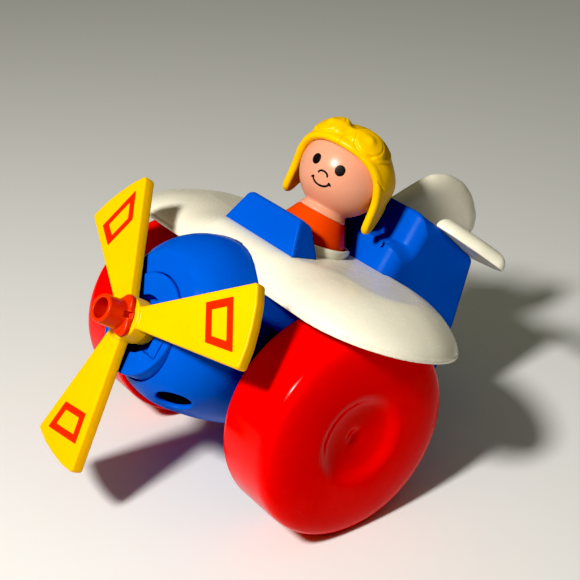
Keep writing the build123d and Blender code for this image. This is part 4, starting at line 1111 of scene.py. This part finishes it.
# ---------------------------------------------------------------- wheels
# Profiles: distance from the plane's middle along the axle, radius.
# outside, from the tread's inboard edge to the middle of the outer face
TREAD = [(41.7, 41.62), (41.7, 42.8), (41.95, 43.25), (42.3, 43.5), (42.9, 43.5),
         (43.1, 43.62), (43.5, 43.85), (54.0, 43.95), (61.5, 43.92)]
OUTER_FACE = [(63.6, 43.9), (65.8, 43.72), (67.7, 43.05), (69.1, 41.7), (70.1, 39.6),
              (70.8, 36.8), (71.25, 33.3), (71.5, 29.6), (71.6, 26.0), (71.63, 22.8),
              (71.56, 20.4), (71.36, 19.1), (71.0, 17.9), (70.45, 16.7), (69.8, 15.4),
              (69.2, 13.8), (68.8, 11.8), (68.5, 9.6), (68.3, 7.4), (68.15, 5.6),
              (67.95, 4.3), (67.55, 3.1), (67.1, 2.0), (66.85, 1.0)]
# inside, from the axle bore over its sleeve to the tread's inboard edge
BORE = [(64.02, 0.0), (64.02, 2.0), (46.6, 2.0), (46.6, 5.0), (64.0, 5.6)]
INNER_FACE = [(64.9, 8.0), (66.2, 12.0), (67.3, 15.6), (68.5, 18.2), (69.2, 20.2),
              (69.2, 26.0), (68.8, 32.0), (67.9, 37.0), (66.2, 40.2), (63.8, 41.4),
              (61.5, 41.6)]
WHEEL_PROFILE = (BORE + smooth_curve(INNER_FACE, 3) + [(50.0, 41.6)]
                 + TREAD + smooth_curve(OUTER_FACE, 4) + [(66.8, 0.0)])

for side_name, side in (("left", 1), ("right", -1)):
    wheel = lathe("wheel_" + side_name + "_shell",
                  [(side * along, radius) for along, radius in reversed(WHEEL_PROFILE)],
                  origin=(AXLE_X, 0, AXLE_Z), axis=(0, 1, 0), body="wheelset",
                  segments=224, closed=False)
    stand_in(wheel, "wheel_" + side_name, "red")

# ---------------------------------------------------------------- propeller
BLADE_TURN = 3.783                 # angle of the first blade, radians
BLADE_SWEEP = -0.113               # the blades lean back
BLADE_HALF = 2.55                  # half thickness
# blade from the front: outward, across, corner radius
BLADE_OUTLINE = rounded_outline([
    (2.0, -3.1, 0), (61.9, -16.3, 1.6), (63.6, -8.0, 8), (64.0, 0, 12), (63.6, 8.0, 8),
    (61.9, 16.3, 1.6), (2.0, 3.1, 0)], steps=5)


def blade_frame(turn_angle):
    """Outward, across and forward-facing directions of a blade."""
    outward = unit(np.array((BLADE_SWEEP, math.cos(turn_angle), -math.sin(turn_angle))))
    across = np.array((0, -math.sin(turn_angle), -math.cos(turn_angle)))
    return outward, across, np.cross(across, outward)


BLADES = [blade_frame(BLADE_TURN + k * 2 * math.pi / 3) for k in range(3)]


def blade_shape(x, y, z, blade):
    along, aside, ahead = (x * axis[0] + y * axis[1] + z * axis[2] for axis in blade)
    depth = np.abs(ahead + BLADE_HALF)
    outline = polygon(along, aside, BLADE_OUTLINE) + 0.075 * depth - 0.10
    return round_max(outline, depth - BLADE_HALF, 0.75)


def propeller_shape(x, y, z):
    radius = np.hypot(y, z)
    front_disc = round_max(radius - 8.9, slab(x, -4.05, 3.95), 0.7)
    back_disc = round_max(radius - 8.2, slab(x, -9.9, 2.3), 0.4)
    fan = reduce(lambda first, second: soft_min(first, second, 3.4),
                 [blade_shape(x, y, z, blade) for blade in BLADES])
    shape = soft_min(union(front_disc, back_disc), fan, 0.7)
    return cut(overlap(shape, below(x, 0.02)), radius - SHAFT_HOLE_R)


propeller = mould("propeller_blades", propeller_shape, (-17, -66, -67), (2, 66, 66),
                  spacing=0.55, body="propeller_group")
stand_in(propeller, "propeller", "yellow")


# ---------------------------------------------------------------- blade labels
def label_outline(inner, inner_half, outer, outer_half):
    """Trapezium between two distances out along the blade, with ends square to its sides."""
    skew, corner_r = 0.264, 0.35
    return rounded_outline([
        (inner - skew * inner_half, -inner_half, corner_r),
        (outer - skew * outer_half, -outer_half, corner_r),
        (outer + skew * outer_half, outer_half, corner_r),
        (inner + skew * inner_half, inner_half, corner_r)], steps=3)


def blade_labels():
    """A thin printed frame on the front of each blade."""
    under, edge, top, bevel = -0.05, 0.10, 0.14, 0.05
    outside = label_outline(42.0, 7.5, 55.1, 10.3)
    inside = label_outline(45.0, 4.9, 52.1, 6.4)
    section = [(outside, under), (outside, edge), (inset(outside, bevel), top),
               (inset(inside, -bevel), top), (inside, edge), (inside, under)]
    points, faces = [], []
    for outward, across, ahead in BLADES:
        rings = [[outward * along + across * aside + ahead * height for along, aside in outline]
                 for outline, height in section]
        ring_points, ring_faces = join_rings(rings, wrap=True)
        faces += [tuple(i + len(points) for i in face) for face in ring_faces]
        points += list(ring_points)
    piece = add_mesh("blade_label_prints", np.array(points), faces, "propeller_group")
    face_outward(piece)
    piece.data.polygons.foreach_set("use_smooth", np.zeros(len(piece.data.polygons), bool))
    return piece


stand_in(blade_labels(), "blade_labels", "print")


# ---------------------------------------------------------------- hub knob
def hub_shape(x, y, z):
    core_r, lobe_out, lobe_r, lobe_turn = 6.9, 5.8, 3.3, -37
    tube_r, tube_front, tube_x, tube_half = 5.8, 11.6, 6.6, 5.0
    socket_r, socket_back = 4.1, 3.6
    slot_start, slot_half, slot_back, slot_front = 5.0, 1.2, 0.9, 4.4
    radius = np.hypot(y, z)
    lobes = radius - core_r
    for k in range(3):
        angle = math.radians(lobe_turn + 120 * k)
        lobe = np.hypot(y - lobe_out * math.cos(angle), z - lobe_out * math.sin(angle))
        lobes = soft_min(lobes, lobe - lobe_r, 1.6)
    base = round_max(lobes, slab(x, 1.2, 1.2), 0.7)
    tube = round_max(radius - tube_r - 0.012 * (tube_front - x),
                     slab(x, tube_x, tube_half), 0.75)
    shape = soft_min(base, tube, 1.0)
    shape = round_cut(shape, overlap(radius - socket_r, above(x, socket_back)), 0.45)
    # slot in the rim, in line with the second blade
    blade_y, blade_z = BLADES[1][0][1:]
    length = math.hypot(blade_y, blade_z)
    along = (y * blade_y + z * blade_z) / length
    aside = (-y * blade_z + z * blade_y) / length
    slot = overlap(above(along, slot_start), np.abs(aside) - slot_half,
                   above(x, slot_back), below(x, slot_front))
    return cut(soft_cut(shape, slot, 0.35), radius - SHAFT_HOLE_R)


hub = mould("hub_knob_moulded", hub_shape, (-1.6, -14, -14), (13.4, 14, 14),
            spacing=0.3, body="propeller_group")
stand_in(hub, "hub_knob", "hub")


# ---------------------------------------------------------------- floor and world (metres)
def add_floor():
    half, drop = 4, 0.00025
    mesh = bpy.data.meshes.new("floor")
    corners = [(-half, -half, 0), (half, -half, 0), (half, half, 0), (-half, half, 0)]
    mesh.from_pydata(corners, [], [(0, 1, 2, 3)])
    floor = bpy.data.objects.new("floor", mesh)
    floor.location = (0, 0, -drop)
    bpy.context.scene.collection.objects.link(floor)
    material = bpy.data.materials.new("floor_pale")
    material.use_nodes = True
    tree = material.node_tree
    shader = tree.nodes["Principled BSDF"]
    noise = add_node(tree, "ShaderNodeTexNoise", {"Scale": 3.0})
    roughness = map_range(tree, noise.outputs["Fac"], source=(0, 1), target=(0.50, 0.62))
    tree.links.new(roughness, shader.inputs["Roughness"])
    shader.inputs["Base Color"].default_value = (0.76, 0.755, 0.745, 1)
    mesh.materials.append(material)


def add_world():
    """Dim studio light, brighter overhead; the camera sees a plain pale backdrop."""
    low_position, low_colour = 0.1, (0.035, 0.035, 0.03, 1)
    high_position, high_colour = 0.92, (0.62, 0.61, 0.46, 1)
    backdrop, strength = (0.92, 0.92, 0.85, 1), 0.33
    world = bpy.data.worlds.new("studio")
    bpy.context.scene.world = world
    world.use_nodes = True
    tree = world.node_tree
    coordinates = add_node(tree, "ShaderNodeTexCoord", {})
    split = add_node(tree, "ShaderNodeSeparateXYZ", {0: coordinates.outputs["Generated"]})
    sky = add_node(tree, "ShaderNodeValToRGB", {0: split.outputs["Z"]})
    low, high = sky.color_ramp.elements
    low.position, low.color = low_position, low_colour
    high.position, high.color = high_position, high_colour
    path = add_node(tree, "ShaderNodeLightPath", {})
    colour = mix_colours(tree, path.outputs["Is Camera Ray"], sky.outputs[0], backdrop)
    background = tree.nodes["Background"]
    tree.links.new(colour, background.inputs["Color"])
    background.inputs["Strength"].default_value = strength


add_floor()
add_world()

# ---------------------------------------------------------------- lamps and camera (metres)
LAMP_AIM = np.array((0.03, 0.0, 0.06))
KEY_OFFSET = np.array((0.65, 0.20, 0.72)) - LAMP_AIM


def lamp(name, direction, distance, size, power, colour, size_y=None):
    """Area lamp that looks at LAMP_AIM: a disk, or a rectangle if size_y is given."""
    light = bpy.data.lights.new(name, "AREA")
    light.shape = "RECTANGLE" if size_y else "DISK"
    light.size = size
    if size_y:
        light.size_y = size_y
    light.energy = power
    light.color = colour
    holder = bpy.data.objects.new(name, light)
    bpy.context.scene.collection.objects.link(holder)
    direction = unit(np.array(direction, float))
    holder.location = Vector(LAMP_AIM + direction * distance)
    holder.rotation_mode = "QUATERNION"
    holder.rotation_quaternion = Vector(direction).to_track_quat("Z", "Y")


def add_camera():
    right = Vector((-0.81440333075, 0.58029917999, 0.00027670894))
    down = Vector((0.27168631565, 0.38171120418, -0.88344954722))
    forward = Vector((-0.51277067072, -0.71940907578, -0.46852622226))
    place = (0.32003496428, 0.39848447532, 0.33237117276)
    camera = bpy.data.cameras.new("camera")
    camera.lens = 82.273
    camera.sensor_width = 36.0
    camera.clip_start, camera.clip_end = 0.01, 20
    holder = bpy.data.objects.new("camera", camera)
    bpy.context.scene.collection.objects.link(holder)
    rotation = Matrix((right, -down, -forward)).transposed()
    holder.matrix_world = Matrix.Translation(place) @ rotation.to_4x4()
    bpy.context.scene.camera = holder


lamp("key", KEY_OFFSET, distance=float(np.linalg.norm(KEY_OFFSET)), size=0.13, power=11.2,
     colour=(1.0, 0.985, 0.94))
lamp("fill", (-0.2, 0.3, 1.0), distance=1.6, size=0.9, size_y=0.6, power=0.25,
     colour=(1.0, 0.99, 0.94))
add_camera()

view = bpy.context.scene.view_settings
view.view_transform = "Standard"
view.use_curve_mapping = True
view.curve_mapping.black_level = (0.013, 0.013, 0.013)    # slightly deeper shadows
view.curve_mapping.update()
